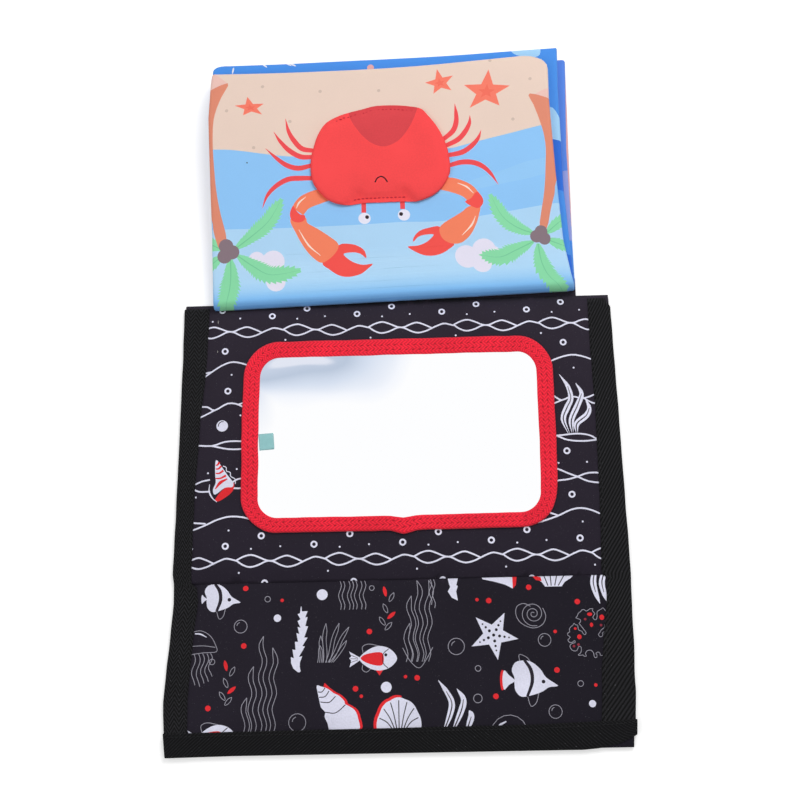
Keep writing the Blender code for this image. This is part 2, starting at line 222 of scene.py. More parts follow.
def add_world():
    """Soft light, and what the mirror reflects: a white studio with a grey-blue band and a lens."""
    world = bpy.data.worlds.new("studio")
    bpy.context.scene.world = world
    world.use_nodes = True
    tree = world.node_tree
    tree.nodes.clear()
    way = add_node(tree, "TexCoord").outputs["Generated"]
    band = add_ramp(tree, add_patch(tree, way, *BAND_PATCH), BAND_COLOURS)
    side = add_ramp(tree, add_patch(tree, way, *SIDE_PATCH), SIDE_COLOURS)
    lens = add_ramp(tree, add_patch(tree, way, *LENS_PATCH), LENS_SHARES)
    colour = mix_colours(tree, lens, mix_colours(tree, 1, band, side, "DARKEN"), LENS_COLOUR)
    soft = add_node(tree, "Background", {"Strength": WORLD_LIGHT})
    seen = add_node(tree, "Background", {"Color": colour, "Strength": 1.0})
    rays = add_node(tree, "LightPath").outputs
    is_seen = calc(tree, "MAXIMUM", rays["Is Camera Ray"], rays["Is Glossy Ray"])
    is_seen = calc(tree, "MAXIMUM", is_seen, rays["Is Transmission Ray"])
    mix = add_node(tree, "MixShader", {0: is_seen, 1: soft.outputs[0], 2: seen.outputs[0]})
    add_node(tree, "OutputWorld", {"Surface": mix.outputs[0]})


FLOOR_HALF = 4.0
FLOOR_Z = -0.3
FLOOR_LIFT = 0.36


def add_floor():
    sheet = bmesh.new()
    bmesh.ops.create_grid(sheet, x_segments=8, y_segments=8, size=FLOOR_HALF)
    bmesh.ops.translate(sheet, verts=sheet.verts, vec=(0, 0, FLOOR_Z * MM))
    data = finished_mesh("floor", sheet)
    floor = add_object("floor", data)
    material = bpy.data.materials.new("pale_floor")
    material.use_nodes = True
    tree = material.node_tree
    shader = tree.nodes["Principled BSDF"].inputs
    shader["Base Color"].default_value = (0.86, 0.86, 0.86, 1)
    shader["Roughness"].default_value = 0.9
    shader["Specular IOR Level"].default_value = 0.0
    shader["Emission Color"].default_value = (1, 1, 1, 1)
    seen = add_node(tree, "LightPath").outputs["Is Camera Ray"]
    tree.links.new(calc(tree, "MULTIPLY", seen, FLOOR_LIFT), shader["Emission Strength"])
    data.materials.append(material)


add_camera()
add_world()
add_floor()
add_lamp("key", (0.45, 0.75, 1.15), (0, 0.02, 0), 0.7, 9)
add_lamp("fill", (-0.9, -0.5, 1.1), (0, 0, 0), 1, 3.5)
bpy.context.scene.view_settings.view_transform = "Standard"


# Colours

def linear(*seen):
    """A colour as it is seen, red, green and blue from 0 to 255, as a shader takes it."""
    parts = [value / 255 for value in seen]
    return tuple(
        part / 12.92 if part <= 0.04045 else ((part + 0.055) / 1.055) ** 2.4 for part in parts
    )


WHITE = linear(228, 228, 246)
BLACK_CLOTH = linear(43, 38, 48)
RED = linear(232, 48, 54)
GREY_LINE = linear(160, 158, 170)
TAPE_BLACK = linear(27, 27, 29)
WEBBING_BLACK = linear(18, 18, 20)
LINT_COLOUR = (0.75, 0.75, 0.8, 1)
LINT_FROM = 0.74
RIB_UNSTEADY = 0.0006
THREAD_PITCH = 0.0007
THREAD_DEPTH = 0.00012


# Shader effects that several materials use

def new_group(name, inputs, outputs):
    """An empty node group with the sockets at its start and its end, by name."""
    group = bpy.data.node_groups.new(name, "ShaderNodeTree")
    for in_out, sockets in (("INPUT", inputs), ("OUTPUT", outputs)):
        for label, (kind, value) in sockets.items():
            socket = group.interface.new_socket(
                name=label, in_out=in_out, socket_type="NodeSocket" + kind,
            )
            if value is not None:
                socket.default_value = value
    start = group.nodes.new("NodeGroupInput").outputs
    return group, start, group.nodes.new("NodeGroupOutput").inputs


def add_noise(tree, vector, scale, detail=2):
    """Scale is how many swells there are in a metre."""
    values = {"Vector": vector, "Scale": scale, "Detail": detail, "Roughness": 0.5}
    return add_node(tree, "TexNoise", values).outputs["Fac"]


def add_waves(tree, along, pitch):
    """A sine over the distance along, whose whole wave is the pitch."""
    turns = calc(tree, "DIVIDE", 2 * math.pi, pitch)
    return calc(tree, "SINE", calc(tree, "MULTIPLY", along, turns))


def weave_group():
    """Threads over and under each other. Pitch is the width of two threads, in metres."""
    group, start, end = new_group(
        "weave",
        {"Vector": ("Vector", None), "Pitch": ("Float", 0.0006)},
        {"Height": ("Float", None)},
    )
    place = add_node(group, "SeparateXYZ", {0: start["Vector"]}).outputs
    warp = add_waves(group, place["X"], start["Pitch"])
    weft = add_waves(group, place["Y"], start["Pitch"])
    height = calc(group, "MULTIPLY_ADD", calc(group, "MULTIPLY", warp, weft), 0.5, 0.5)
    group.links.new(height, end["Height"])
    return group


def ribs_group():
    """Slanted ribs of a woven tape, which turn back at each width of Zigzag, in metres."""
    group, start, end = new_group(
        "ribs",
        {
            "Vector": ("Vector", None),
            "Pitch": ("Float", 0.0014),
            "Slant": ("Float", 0.5),
            "Zigzag": ("Float", 1),
        },
        {"Height": ("Float", None)},
    )
    place = add_node(group, "SeparateXYZ", {0: start["Vector"]}).outputs
    across = calc(group, "PINGPONG", place["X"], start["Zigzag"])
    along = calc(group, "ADD", place["Y"], calc(group, "MULTIPLY", across, start["Slant"]))
    unsteady = add_noise(group, start["Vector"], 90, 1)
    along = calc(group, "MULTIPLY_ADD", unsteady, RIB_UNSTEADY, along)
    height = calc(group, "MULTIPLY_ADD", add_waves(group, along, start["Pitch"]), 0.5, 0.5)
    group.links.new(height, end["Height"])
    return group


def worn_colour_group():
    """Uneven dye in soft clouds, with lint or dust lying on it as small pale specks."""
    group, start, end = new_group(
        "worn_colour",
        {
            "Color": ("Color", (0.5, 0.5, 0.5, 1)),
            "Vector": ("Vector", None),
            "Unevenness": ("Float", 0.15),
            "Lint": ("Float", 0.05),
        },
        {"Color": ("Color", None), "Mask": ("Float", None)},
    )
    clouds = calc(group, "MULTIPLY", add_noise(group, start["Vector"], 28, 3), 0.6)
    grain = calc(group, "MULTIPLY", add_noise(group, start["Vector"], 900), 0.4)
    both = calc(group, "ADD", clouds, grain)
    swing = calc(group, "MULTIPLY", calc(group, "SUBTRACT", both, 0.5), start["Unevenness"])
    dyed = scale_colour(group, start["Color"], calc(group, "MULTIPLY_ADD", swing, 2, 1))
    specks = calc(group, "GREATER_THAN", add_noise(group, start["Vector"], 1500, 1), LINT_FROM)
    share = calc(group, "MULTIPLY", specks, start["Lint"])
    group.links.new(mix_colours(group, share, dyed, LINT_COLOUR), end["Color"])
    group.links.new(both, end["Mask"])
    return group


WEAVE = weave_group()
RIBS = ribs_group()
WORN_COLOUR = worn_colour_group()


def place_group(tree, group, vector, **values):
    return add_node(tree, "Group", {"Vector": vector, **values}, node_tree=group).outputs


def add_bump(tree, height, strength, reach, normal=None):
    """Reach is the height of a full step, in metres."""
    values = {"Height": height, "Strength": strength, "Distance": reach}
    if normal is not None:
        values["Normal"] = normal
    return add_node(tree, "Bump", values).outputs["Normal"]


def new_material(name, on_surface=False):
    """A material with where its pattern is read: the piece's UV map or its Object coordinates."""
    material = bpy.data.materials.new(name)
    material.use_nodes = True
    tree = material.node_tree
    vector = add_node(tree, "TexCoord").outputs["UV" if on_surface else "Object"]
    return material, tree, tree.nodes["Principled BSDF"].inputs, vector


def finish_shader(tree, shader, colour, normal, roughness, specular, sheen, coat=0, mask=None):
    """Where there is a mask, the roughness varies a little with it."""
    gloss = {
        "Roughness": roughness, "Specular IOR Level": specular, "Sheen Weight": sheen,
        "Sheen Roughness": 0.5, "Coat Weight": coat, "Coat Roughness": 0.2,
    }
    for label, value in gloss.items():
        shader[label].default_value = value
    if mask is not None:
        rough = calc(tree, "MULTIPLY_ADD", mask, 0.2, roughness - 0.1)
        tree.links.new(rough, shader["Roughness"])
    tree.links.new(colour, shader["Base Color"])
    tree.links.new(normal, shader["Normal"])


def cloth_material(name, colour=None, ribs=None, rib_depth=0.0004, rib_shade=0.6, unevenness=0.15,
                   lint=0.04, roughness=0.85, sheen=0.1, specular=0.25, wrinkle=0,
                   on_surface=True):
    """A woven cloth or tape. Without a colour it shows the piece's print."""
    material, tree, shader, vector = new_material(name, on_surface)
    if colour is None:
        dye = add_node(tree, "VertexColor", layer_name="print").outputs["Color"]
    else:
        dye = (*colour, 1)
    worn = place_group(tree, WORN_COLOUR, vector, Color=dye, Unevenness=unevenness, Lint=lint)
    shade = worn["Color"]
    weave = place_group(tree, WEAVE, vector, Pitch=THREAD_PITCH)
    normal = add_bump(tree, weave["Height"], 0.5, THREAD_DEPTH)
    if ribs is not None:
        rib = place_group(tree, RIBS, vector, **ribs)["Height"]
        normal = add_bump(tree, rib, 0.8, rib_depth, normal)
        gain = calc(tree, "MULTIPLY_ADD", rib, rib_shade, 1 - rib_shade / 2)
        shade = scale_colour(tree, shade, gain)
    if wrinkle:
        normal = add_bump(tree, add_noise(tree, vector, 45, 3), 0.6, wrinkle, normal)
    finish_shader(tree, shader, shade, normal, roughness, specular, sheen, mask=worn["Mask"])
    return material


def mirror_material():
    material, tree, shader, vector = new_material("mirror_film")
    shader["Metallic"].default_value = 1.0
    shader["Base Color"].default_value = (0.985, 0.99, 1, 1)
    smudge = add_noise(tree, vector, 35, 4)
    tree.links.new(calc(tree, "MULTIPLY", smudge, 0.03), shader["Roughness"])
    wave = add_noise(tree, vector, 14, 1)
    tree.links.new(add_bump(tree, wave, 0.15, 0.002), shader["Normal"])
    return material


def plain_material(name, colour, roughness, grain_scale, grain_depth, unevenness=0.2,
                   specular=0.3, coat=0):
    """A board, foam, film or plastic, with its own grain."""
    material, tree, shader, vector = new_material(name)
    dye = (*colour, 1)
    worn = place_group(tree, WORN_COLOUR, vector, Color=dye, Unevenness=unevenness, Lint=0.02)
    normal = add_bump(tree, add_noise(tree, vector, grain_scale, 4), 0.6, grain_depth)
    finish_shader(
        tree, shader, worn["Color"], normal, roughness, specular, 0, coat, worn["Mask"],
    )
    return material


def hook_material(name, colour, loops):
    """The hook or loop face of a closing strip: rows of fine dark bristles or a tangle."""
    material, tree, shader, vector = new_material(name)
    bristles = add_node(tree, "TexVoronoi", {
        "Vector": vector, "Scale": 900, "Randomness": 1.0 if loops else 0.15,
    }).outputs["Distance"]
    shade = scale_colour(tree, colour, calc(tree, "MULTIPLY_ADD", bristles, -0.7, 1))
    normal = add_bump(tree, bristles, 0.9, 0.0006)
    finish_shader(tree, shader, shade, normal, 0.75, 0.2, 0.3 if loops else 0)
    return material


COVER_LOOK = {"unevenness": 0.35, "lint": 0.1, "specular": 0.1, "sheen": 0.03, "wrinkle": 0.0006}
TAPE_LOOK = {"rib_shade": 1.9, "unevenness": 0.4, "lint": 0.1, "specular": 0.12, "sheen": 0.03}
THREAD_LOOK = {"unevenness": 0.2, "lint": 0, "on_surface": False}

PRINTED_COVER = cloth_material("printed_cover_cloth", **COVER_LOOK)
PRINTED_PAGE = cloth_material(
    "printed_page_cloth", unevenness=0.06, lint=0, roughness=0.7, wrinkle=0.0008,
)
BACK_CLOTH = cloth_material("black_back_cloth", BLACK_CLOTH, **{**COVER_LOOK, "unevenness": 0.3})
CRAB_CLOTH = cloth_material(
    "crab_plush_cloth", unevenness=0.2, lint=0, roughness=0.9, sheen=0, specular=0.1,
    wrinkle=0.0005,
)
RIGHT_TAPE = cloth_material(
    "twill_tape", TAPE_BLACK, ribs={"Pitch": 0.0038, "Slant": 1.9}, **TAPE_LOOK,
)
LEFT_TAPE = cloth_material(
    "herringbone_tape", TAPE_BLACK,
    ribs={"Pitch": 0.0028, "Slant": 1.6, "Zigzag": 0.0030}, **TAPE_LOOK,
)
FRONT_WEBBING = cloth_material(
    "front_webbing", WEBBING_BLACK,
    ribs={"Pitch": 0.0024, "Slant": 1.0}, **{**TAPE_LOOK, "rib_shade": 1.6},
)
FRAME_TAPE = cloth_material(
    "red_frame_tape", linear(240, 42, 62), ribs={"Pitch": 0.0025, "Slant": 1.2, "Zigzag": 0.0026},
    rib_depth=0.00008, rib_shade=0.4, unevenness=0.35, lint=0, specular=0.1,
)
BLACK_THREAD = cloth_material(
    "black_thread", linear(34, 34, 36), specular=0.1, **{**THREAD_LOOK, "unevenness": 0.3},
)
RED_THREAD = cloth_material("dark_red_thread", linear(180, 16, 36), **THREAD_LOOK)
CRAB_THREAD = cloth_material("crab_thread", linear(200, 40, 60), **THREAD_LOOK)
MIRROR = mirror_material()
TEAL_FILM = plain_material("teal_film", linear(146, 198, 200), 0.4, 300, 0.0001, 0.12, 0.3, 0.05)
BOARD = plain_material("grey_board", linear(168, 160, 148), 0.85, 400, 0.0003)
FOAM = plain_material("white_foam", linear(235, 232, 224), 0.95, 1200, 0.0008)
CRINKLE_FILM = plain_material(
    "crinkle_film", linear(212, 220, 226), 0.25, 160, 0.0012, 0.1, 0.6, 0.4,
)
HOOK = hook_material("hook_face", linear(46, 46, 50), False)
LOOP = hook_material("loop_face", linear(58, 58, 64), True)


# Curves and prints, flat, in millimetres

def smooth_curve(points, closed=False, steps=5):
    """A Catmull-Rom curve through the points."""
    given = [np.array(point, float) for point in points]
    count = len(given)
    if closed:
        padded = [given[-1], *given, given[0], given[1]]
    else:
        padded = [2 * given[0] - given[1], *given, 2 * given[-1] - given[-2]]
    found = []
    for index in range(count if closed else count - 1):
        before, start, end, after = padded[index:index + 4]
        for step in range(steps):
            t = step / steps
            found.append(0.5 * (
                2 * start
                + (end - before) * t
                + (2 * before - 5 * start + 4 * end - after) * t * t
                + (3 * start - before - 3 * end + after) * t ** 3
            ))
    if not closed:
        found.append(given[-1])
    return np.array(found)


def side_vectors(curve):
    ahead = np.gradient(curve, axis=0)
    ahead /= np.linalg.norm(ahead, axis=1)[:, None] + 1e-9
    return np.stack([-ahead[:, 1], ahead[:, 0]], axis=1)


class Print:
    """Flat shapes of ink on a cloth, each drawn over the ones before it."""

    def __init__(self):
        self.shapes = []

    def fill(self, points, ink):
        self.shapes.append((np.array(points, float), ink))

    def fold(self, points):
        """A line that the cloth's mesh follows where it bends, with no ink."""
        self.fill(points, None)

    def blob(self, points, ink, steps=4):
        self.fill(smooth_curve(points, True, steps), ink)

    def oval(self, x, y, across, along, ink, turn=0, steps=14):
        angles = np.linspace(0, 2 * math.pi, steps, endpoint=False)
        flat = np.stack([across * np.cos(angles), along * np.sin(angles)], axis=1)
        cos, sin = math.cos(math.radians(turn)), math.sin(math.radians(turn))
        self.fill(flat @ np.array([[cos, sin], [-sin, cos]]) + (x, y), ink)

    def disc(self, x, y, radius, ink, steps=12):
        self.oval(x, y, radius, radius, ink, 0, steps)

    def ring(self, x, y, radius, ink, width):
        angles = np.linspace(0, 2 * math.pi, 18)
        circle = np.stack([np.cos(angles), np.sin(angles)], axis=1)
        self.fill(np.concatenate([circle * radius, circle[::-1] * (radius - width)]) + (x, y), ink)

    def taper(self, points, widths, ink, steps=4):
        """A curved stroke, whose width goes evenly through the given widths."""
        curve = smooth_curve(points, False, steps)
        wide = np.interp(np.linspace(0, 1, len(curve)), np.linspace(0, 1, len(widths)), widths)
        offset = side_vectors(curve) * wide[:, None] / 2
        self.fill(np.concatenate([curve + offset, (curve - offset)[::-1]]), ink)

    def line(self, points, width, ink, steps=4):
        self.taper(points, [width, width], ink, steps)

    def star(self, x, y, tips, waist, ink):
        """A soft star from its middle to the given tips, in order round it."""
        middle = np.array((x, y), float)
        points = []
        for index, tip in enumerate(tips):
            arm = np.array(tip, float) - middle
            next_arm = np.array(tips[(index + 1) % len(tips)], float) - middle
            side = np.array((-arm[1], arm[0])) / (np.linalg.norm(arm) + 1e-9) * waist * 0.24
            points += [middle + arm * 0.86 - side, middle + arm, middle + arm * 0.86 + side]
            valley = arm / np.linalg.norm(arm) + next_arm / np.linalg.norm(next_arm)
            points.append(middle + valley / np.linalg.norm(valley) * waist)
        self.blob(points, ink, 3)


def resample(points, step, closed=True):
    """The same outline with points no further apart than the step."""
    given = [np.array(point, float) for point in points]
    ends = given[1:] + given[:1] if closed else given[1:]
    found = []
    for start, end in zip(given, ends):
        parts = max(1, math.ceil(np.linalg.norm(end - start) / step))
        found += [start + (end - start) * part / parts for part in range(parts)]
    if not closed:
        found.append(given[-1])
    return np.array(found)


def is_inside(places, shape):
    """Which of the places the shape winds round."""
    near = np.all((places >= shape.min(0)) & (places <= shape.max(0)), axis=1)
    x, y = places[near].T[:, :, None]
    start_x, start_y = shape.T
    end_x, end_y = np.roll(shape, -1, axis=0).T
    left = (end_x - start_x) * (y - start_y) - (x - start_x) * (end_y - start_y)
    rising = (start_y <= y) & (end_y > y) & (left > 0)
    falling = (start_y > y) & (end_y <= y) & (left < 0)
    turns = np.zeros(len(places), int)
    turns[near] = rising.sum(1) - falling.sum(1)
    return turns != 0


def grid_points(outline, step, taken):
    """Points inside the outline, in staggered rows, that keep clear of the points already there."""
    used = {(int(x // step), int(y // step)) for x, y in taken}
    low, high = outline.min(0), outline.max(0)
    rows = np.arange(low[1] + step / 2, high[1], step * 0.87)
    found = []
    for number, y in enumerate(rows):
        for x in np.arange(low[0] + step * (0.5 + 0.5 * (number % 2)), high[0], step):
            if (int(x // step), int(y // step)) not in used:
                found.append((x, y))
    found = np.array(found)
    return found[is_inside(found, outline)]


# Meshes and pieces

def new_piece(data, material, thickness=None):
    """A piece with its mesh's name. One cut from a sheet has the sheet's thickness."""
    data.materials.append(material)
    piece = add_object(data.name, data)
    if thickness is not None:
        wall = piece.modifiers.new("thickness", "SOLIDIFY")
        wall.thickness = thickness * MM
        wall.offset = -1.0
    return piece


def printed_mesh(name, outline, art, ground, place, step=4.5):
    """A flat outline with its print, cut into triangles along the edges of the ink and set in place.

    ground is the cloth's own colour, or a function of (x, y) that gives it, and place a function of
    (x, y) that gives the point in space, in millimetres.
    """
    border = resample(outline, step)
    shapes = [border] + [shape for shape, ink in art.shapes]
    points, edges = [], []
    for shape in shapes:
        first = len(points)
        points += [tuple(point) for point in shape]
        edges += [(first + k, first + (k + 1) % len(shape)) for k in range(len(shape))]
    points += [tuple(point) for point in grid_points(border, step, points)]
    found = delaunay_2d_cdt([Vector(point) for point in points], edges, [], 0, 1e-4)
    flat = np.array([tuple(point) for point in found[0]])
    triangles = np.array([tuple(face) for face in found[2]])
    corners = flat[triangles]
    legs = corners[:, 1:] - corners[:, :1]
    area = legs[:, 0, 0] * legs[:, 1, 1] - legs[:, 0, 1] * legs[:, 1, 0]
    triangles[area < 0] = triangles[area < 0][:, ::-1]
    middles = flat[triangles].mean(1)
    kept = is_inside(middles, border) & (np.abs(area) > 1e-7)
    triangles, middles = triangles[kept], middles[kept]
    if callable(ground):
        colours = np.array([ground(x, y) for x, y in middles])
    else:
        colours = np.tile(np.array(ground), (len(middles), 1))
    for shape, ink in art.shapes:
        if ink is not None:
            colours[is_inside(middles, shape)] = ink
    used = np.unique(triangles)
    order = np.zeros(len(flat), int)
    order[used] = np.arange(len(used))
    triangles, flat = order[triangles], flat[used]
    data = bpy.data.meshes.new(name)
    data.from_pydata([tuple(Vector(place(x, y)) * MM) for x, y in flat], [], triangles.tolist())
    paint(data, colours, flat[triangles] * MM)
    return data


def paint(data, colours, places):
    """Gives each face its colour and each of its corners its place on the flat cloth."""
    corners = places.shape[1]
    layer = data.color_attributes.new("print", "FLOAT_COLOR", "CORNER")
    filled = np.ones((len(colours) * corners, 4), np.float32)
    filled[:, :3] = np.repeat(colours, corners, axis=0)
    layer.data.foreach_set("color", filled.ravel())
    flat_map = data.uv_layers.new(name="UVMap")
    flat_map.data.foreach_set("uv", places.astype(np.float32).ravel())
    data.shade_smooth()


def strip_mesh(name, across, along, place, closed=False):
    """A strip of cloth or tape as a grid: place(a, b) gives the point for a stop across and along."""
    strip = bmesh.new()
    bmesh.ops.create_grid(strip, x_segments=len(across) - 1, y_segments=len(along) - 1, size=1)
    flat_map = strip.loops.layers.uv.new("UVMap")
    places = {}
    for vert in strip.verts:
        a = across[round((vert.co.x + 1) / 2 * (len(across) - 1))]
        b = along[round((vert.co.y + 1) / 2 * (len(along) - 1))]
        places[vert] = (a, b)
    for face in strip.faces:
        face.smooth = True
        for loop in face.loops:
            loop[flat_map].uv = Vector(places[loop.vert]) * MM
    for vert, (a, b) in places.items():
        vert.co = Vector(place(a, b)) * MM
    if closed:
        bmesh.ops.remove_doubles(strip, verts=strip.verts, dist=0.01 * MM)
    return finished_mesh(name, strip)


def stops(low, high, step):
    return np.linspace(low, high, max(2, math.ceil((high - low) / step) + 1))


def stitch_mesh(name, seams, length, width, height, pitch, slant=0):
    """Stitches along seams. A seam is a list of points on a surface with the normal there."""
    threads = bmesh.new()
    for seam in seams:
        places = [Vector(point) for point, normal in seam]
        run = [0]
        for before, after in zip(places, places[1:]):
            run.append(run[-1] + (after - before).length)
        for at in np.arange(pitch / 2, run[-1], pitch):
            index = min(max(int(np.searchsorted(run, at)) - 1, 0), len(places) - 2)
            share = (at - run[index]) / max(run[index + 1] - run[index], 1e-9)
            centre = places[index].lerp(places[index + 1], share)
            ahead = (places[index + 1] - places[index]).normalized()
            normal = Vector(seam[index][1]).normalized()
            side = normal.cross(ahead).normalized()
            ahead = (ahead + side * slant).normalized()
            side = normal.cross(ahead).normalized()
            turn = Matrix((ahead, side, normal)).transposed().to_4x4()
            size = Matrix.Diagonal((length / 2, width / 2, height / 2, 1))
            bmesh.ops.create_uvsphere(
                threads, u_segments=6, v_segments=4, radius=1,
                matrix=Matrix.Scale(MM, 4) @ Matrix.Translation(centre) @ turn @ size,
            )
    for face in threads.faces:
        face.smooth = True
    return finished_mesh(name, threads)


def wobble(x, y, size, seed=0):
    """A smooth unevenness between about -1 and 1, whose swells are about size apart."""
    return noise.noise(Vector((x / size, y / size, seed)))


# The cover: a sewn cloth case with black tape round its sides, a little out of square

# Along the cover: y, and there how far its left and its right edge lie from square, each in x, y.
SETTLE = np.array((
    (front_at, -4.1, 0, -0.5, 0), (-204, -4.7, 0, 0.6, 0.5), (-190, -5.2, 0, 1.5, 1),
    (-168, -3.6, 0, 2, 1.1), (-150, -1.9, 0, 2.4, 1.2), (-130, -0.5, 0, 2.8, 1.4),
    (crease_at, -0.6, 0, 3.1, 1.5), (-112, -1.5, 0, 3, 1.5), (-27, 0.3, -1, 2, 1.3),
    (13, 0.9, -1.3, 1.4, 1.2), (35, 1.3, -1.6, 1, 1), (ridge_at, 1.4, -2.2, 0.6, 0.4),
)).T
RIDGE_ROLL = 3.0
SEAM_TUCK = 2.5
WEBBING_SEEN = 15.0

# The width of each side tape along the cover, where it was sewn on wider or narrower.
TAPE_WIDTH_LEFT = (
    (-222, 14), (-207, 14), (-196, 14.5), (-177, 14.4), (-150, 14.1), (-130, 15), (-121, 14.3),
    (-118, 10.9), (-111, 11.6), (-86, 11.3), (-60, 11.3), (-35, 12.3), (-10, 13), (13, 15.1), (35, 15.9),
    (64.5, 16.8),
)
TAPE_WIDTH_RIGHT = (
    (-222, 20.6), (-192, 20.1), (-174, 19.6), (-156, 18.2), (-138, 15.8), (-119.5, 14.6), (-117.5, 18.1),
    (-98, 17.2), (-73, 16.1), (-41, 15.5), (-10, 14.9), (28, 15.3), (64.5, 15),
)


def tape_width(side, y):
    return float(np.interp(y, *zip(*(TAPE_WIDTH_RIGHT if side > 0 else TAPE_WIDTH_LEFT))))


def settle(x, y):
    """How far a point of the real cover lies from its place in a square one."""
    share = (x + tape_inner_x) / (2 * tape_inner_x)
    left_x, left_y, right_x, right_y = (np.interp(y, SETTLE[0], column) for column in SETTLE[1:])
    return left_x + (right_x - left_x) * share, left_y + (right_y - left_y) * share


def on_cover(x, y, z):
    """A point of the square cover, moved to where it really lies."""
    shift = settle(x, y)
    return Vector((x + shift[0], y + shift[1] + datum_y, z))


def squared(x, y):
    """The point of the square cover that really lies at (x, y)."""
    shift = settle(x, y)
    return x - shift[0], y - shift[1]


def clamp(share):
    return min(max(share, 0), 1)


def round_over(share):
    """The height of a quarter circle, from 0 to 1, at a share of its width."""
    return math.sqrt(max(1 - (1 - clamp(share)) ** 2, 0))


def shoulder(inset, width):
    """How far a padded part has risen at the inset from its edge, from 0 to 1."""
    return math.sin(math.pi / 2 * clamp(inset / width))


def puckers(x, y, inset, depth=0.35):
    """The small gathers that a seam pulls into the cloth beside it."""
    near = math.exp(-abs(inset - 2) / 4.5)
    return depth * near * wobble(x, y, 5.5, 3)


def panel_height(x, y):
    inset = min(cover_edge_x - tape_width(x, y) - abs(x), y - crease_at, ridge_at - y)
    field = shoulder(inset, PANEL_SHOULDER)
    height = EDGE_TOP_Z + (panel_top_z - EDGE_TOP_Z) * field
    if inset > 0:
        height += puckers(x, y, inset) - 0.15 * field * (1 + wobble(x, y, 24))
    return height


def flap_height(x, y):
    beside_tape = cover_edge_x - tape_width(x, y) - abs(x)
    inset = min(beside_tape, crease_at - y, y - front_at - WEBBING_SEEN)
    field = shoulder(inset, FLAP_SHOULDER)
    height = EDGE_TOP_Z + (flap_top_z - EDGE_TOP_Z) * field
    if inset > 0:
        height += puckers(x, y, inset) + 0.2 * field * wobble(x, y, 20)
    return height


def wave_cloth_place(x, y):
    flat_x, flat_y = squared(x, y)
    height = panel_height(flat_x, flat_y)
    over = max(0, flat_y - ridge_at) / RIDGE_ROLL
    return x, y + datum_y, height - 1.45 * math.sin(math.pi / 2 * min(over, 1))


def sea_cloth_place(x, y):
    flat_x, flat_y = squared(x, y)
    height = flap_height(flat_x, flat_y)
    under = min(max(flat_y - crease_at + 1, 0) / 2, 1)
    return x, y + datum_y, height - 0.8 * under


def cover_outline(near, far):
    half = cloth_edge_x
    outline = []
    for x, y in resample([(-half, near), (half, near), (half, far), (-half, far)], 8):
        shift = settle(x, y)
        outline.append((x + shift[0], y + shift[1]))
    return outline


def bend_at_crease(piece):
    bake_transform(piece)


def bend_at_ridge(piece):
    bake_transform(piece)


def cover_cloth(name, near, far, art, place):
    data = printed_mesh(name, cover_outline(near, far), art, cover_ground, place)
    return new_piece(data, PRINTED_COVER, CLOTH_THICK)


def add_wave_cloth():
    far = ridge_at + RIDGE_ROLL
    piece = cover_cloth("wave_cloth", crease_at, far, wave_print(), wave_cloth_place)
    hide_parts("mirror_cover_front")
    bend_at_ridge(piece)


def add_sea_cloth():
    far = crease_at + SEAM_TUCK
    piece = cover_cloth("sea_cloth", front_at + 1, far, sea_print(), sea_cloth_place)
    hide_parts("flap_cover_front")
    bend_at_crease(piece)


def back_height(x, y):
    """The back cloth rises to the seams at its edges, and lies on the tapes under the flap."""
    inset = min(cloth_edge_x - abs(x), y - crease_at, ridge_at - y)
    return 1.0 - shoulder(inset - 2, 6) + 0.1 * (1 + wobble(x, y, 18))


def add_back_cloth():
    across = stops(-cloth_edge_x, cloth_edge_x, 5)[::-1]
    data = strip_mesh(
        "back_cloth", across, stops(front_at + 1, ridge_at, 4),
        lambda x, y: on_cover(x, y, back_height(x, y)),
    )
    piece = new_piece(data, BACK_CLOTH, CLOTH_THICK)
    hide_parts("mirror_cover_back", "flap_cover_back")
    bend_at_crease(piece)


# From the underside round the edge to the top: how far in from the edge, and the height.
TAPE_SECTION = (
    (15, 0), (3, 0), (0.35, 0.5), (0, 1.6), (0.35, 2.9), (2, 3.4), (8, 3.35), (13, 3.2), (13.5, 2.95),
    (15, 3.1),
)
UPPER_SIDE_Z = 2.5
TAPE_STITCH_INSET = 13.4
TAPE_UNDER_WEBBING = 6.0
TAPE_STITCH_PITCH = 2.6
CORNER_CUT = (3.6, 6)


def section_stops(section, step):
    """Stops along a section by their distance along it, with the section's two values there."""
    points = np.array(section, float)
    run = np.concatenate([[0], np.cumsum(np.linalg.norm(np.diff(points, axis=0), axis=1))])
    places = np.unique(np.concatenate([run, stops(0, run[-1], step)]))
    return places, lambda at: (np.interp(at, run, points[:, 0]), np.interp(at, run, points[:, 1]))


def side_tape_place(side, inset, y, height):
    cut = 0.0
    if side > 0:
        cut = CORNER_CUT[0] * clamp((y - ridge_at + CORNER_CUT[1]) / CORNER_CUT[1])
    wave = 0.35 * wobble(side * 50, y, 17)
    if height > UPPER_SIDE_Z:
        # The tape's upper side is sewn wider or narrower along the cover, over the cloth.
        inset *= tape_width(side, y) / TAPE_SECTION[-1][0]
        beneath = panel_height if y > crease_at else flap_height
        height = max(height, beneath(side * (cover_edge_x - inset), y) + TAPE_THICK + 0.05)
    x = side * (cover_edge_x - inset - max(0, cut * (1 - inset / 8)) + wave)
    lift = 0.18 * wobble(inset + side * 40, y, 11) if height > UPPER_SIDE_Z else 0.0
    return on_cover(x, y, height + lift)


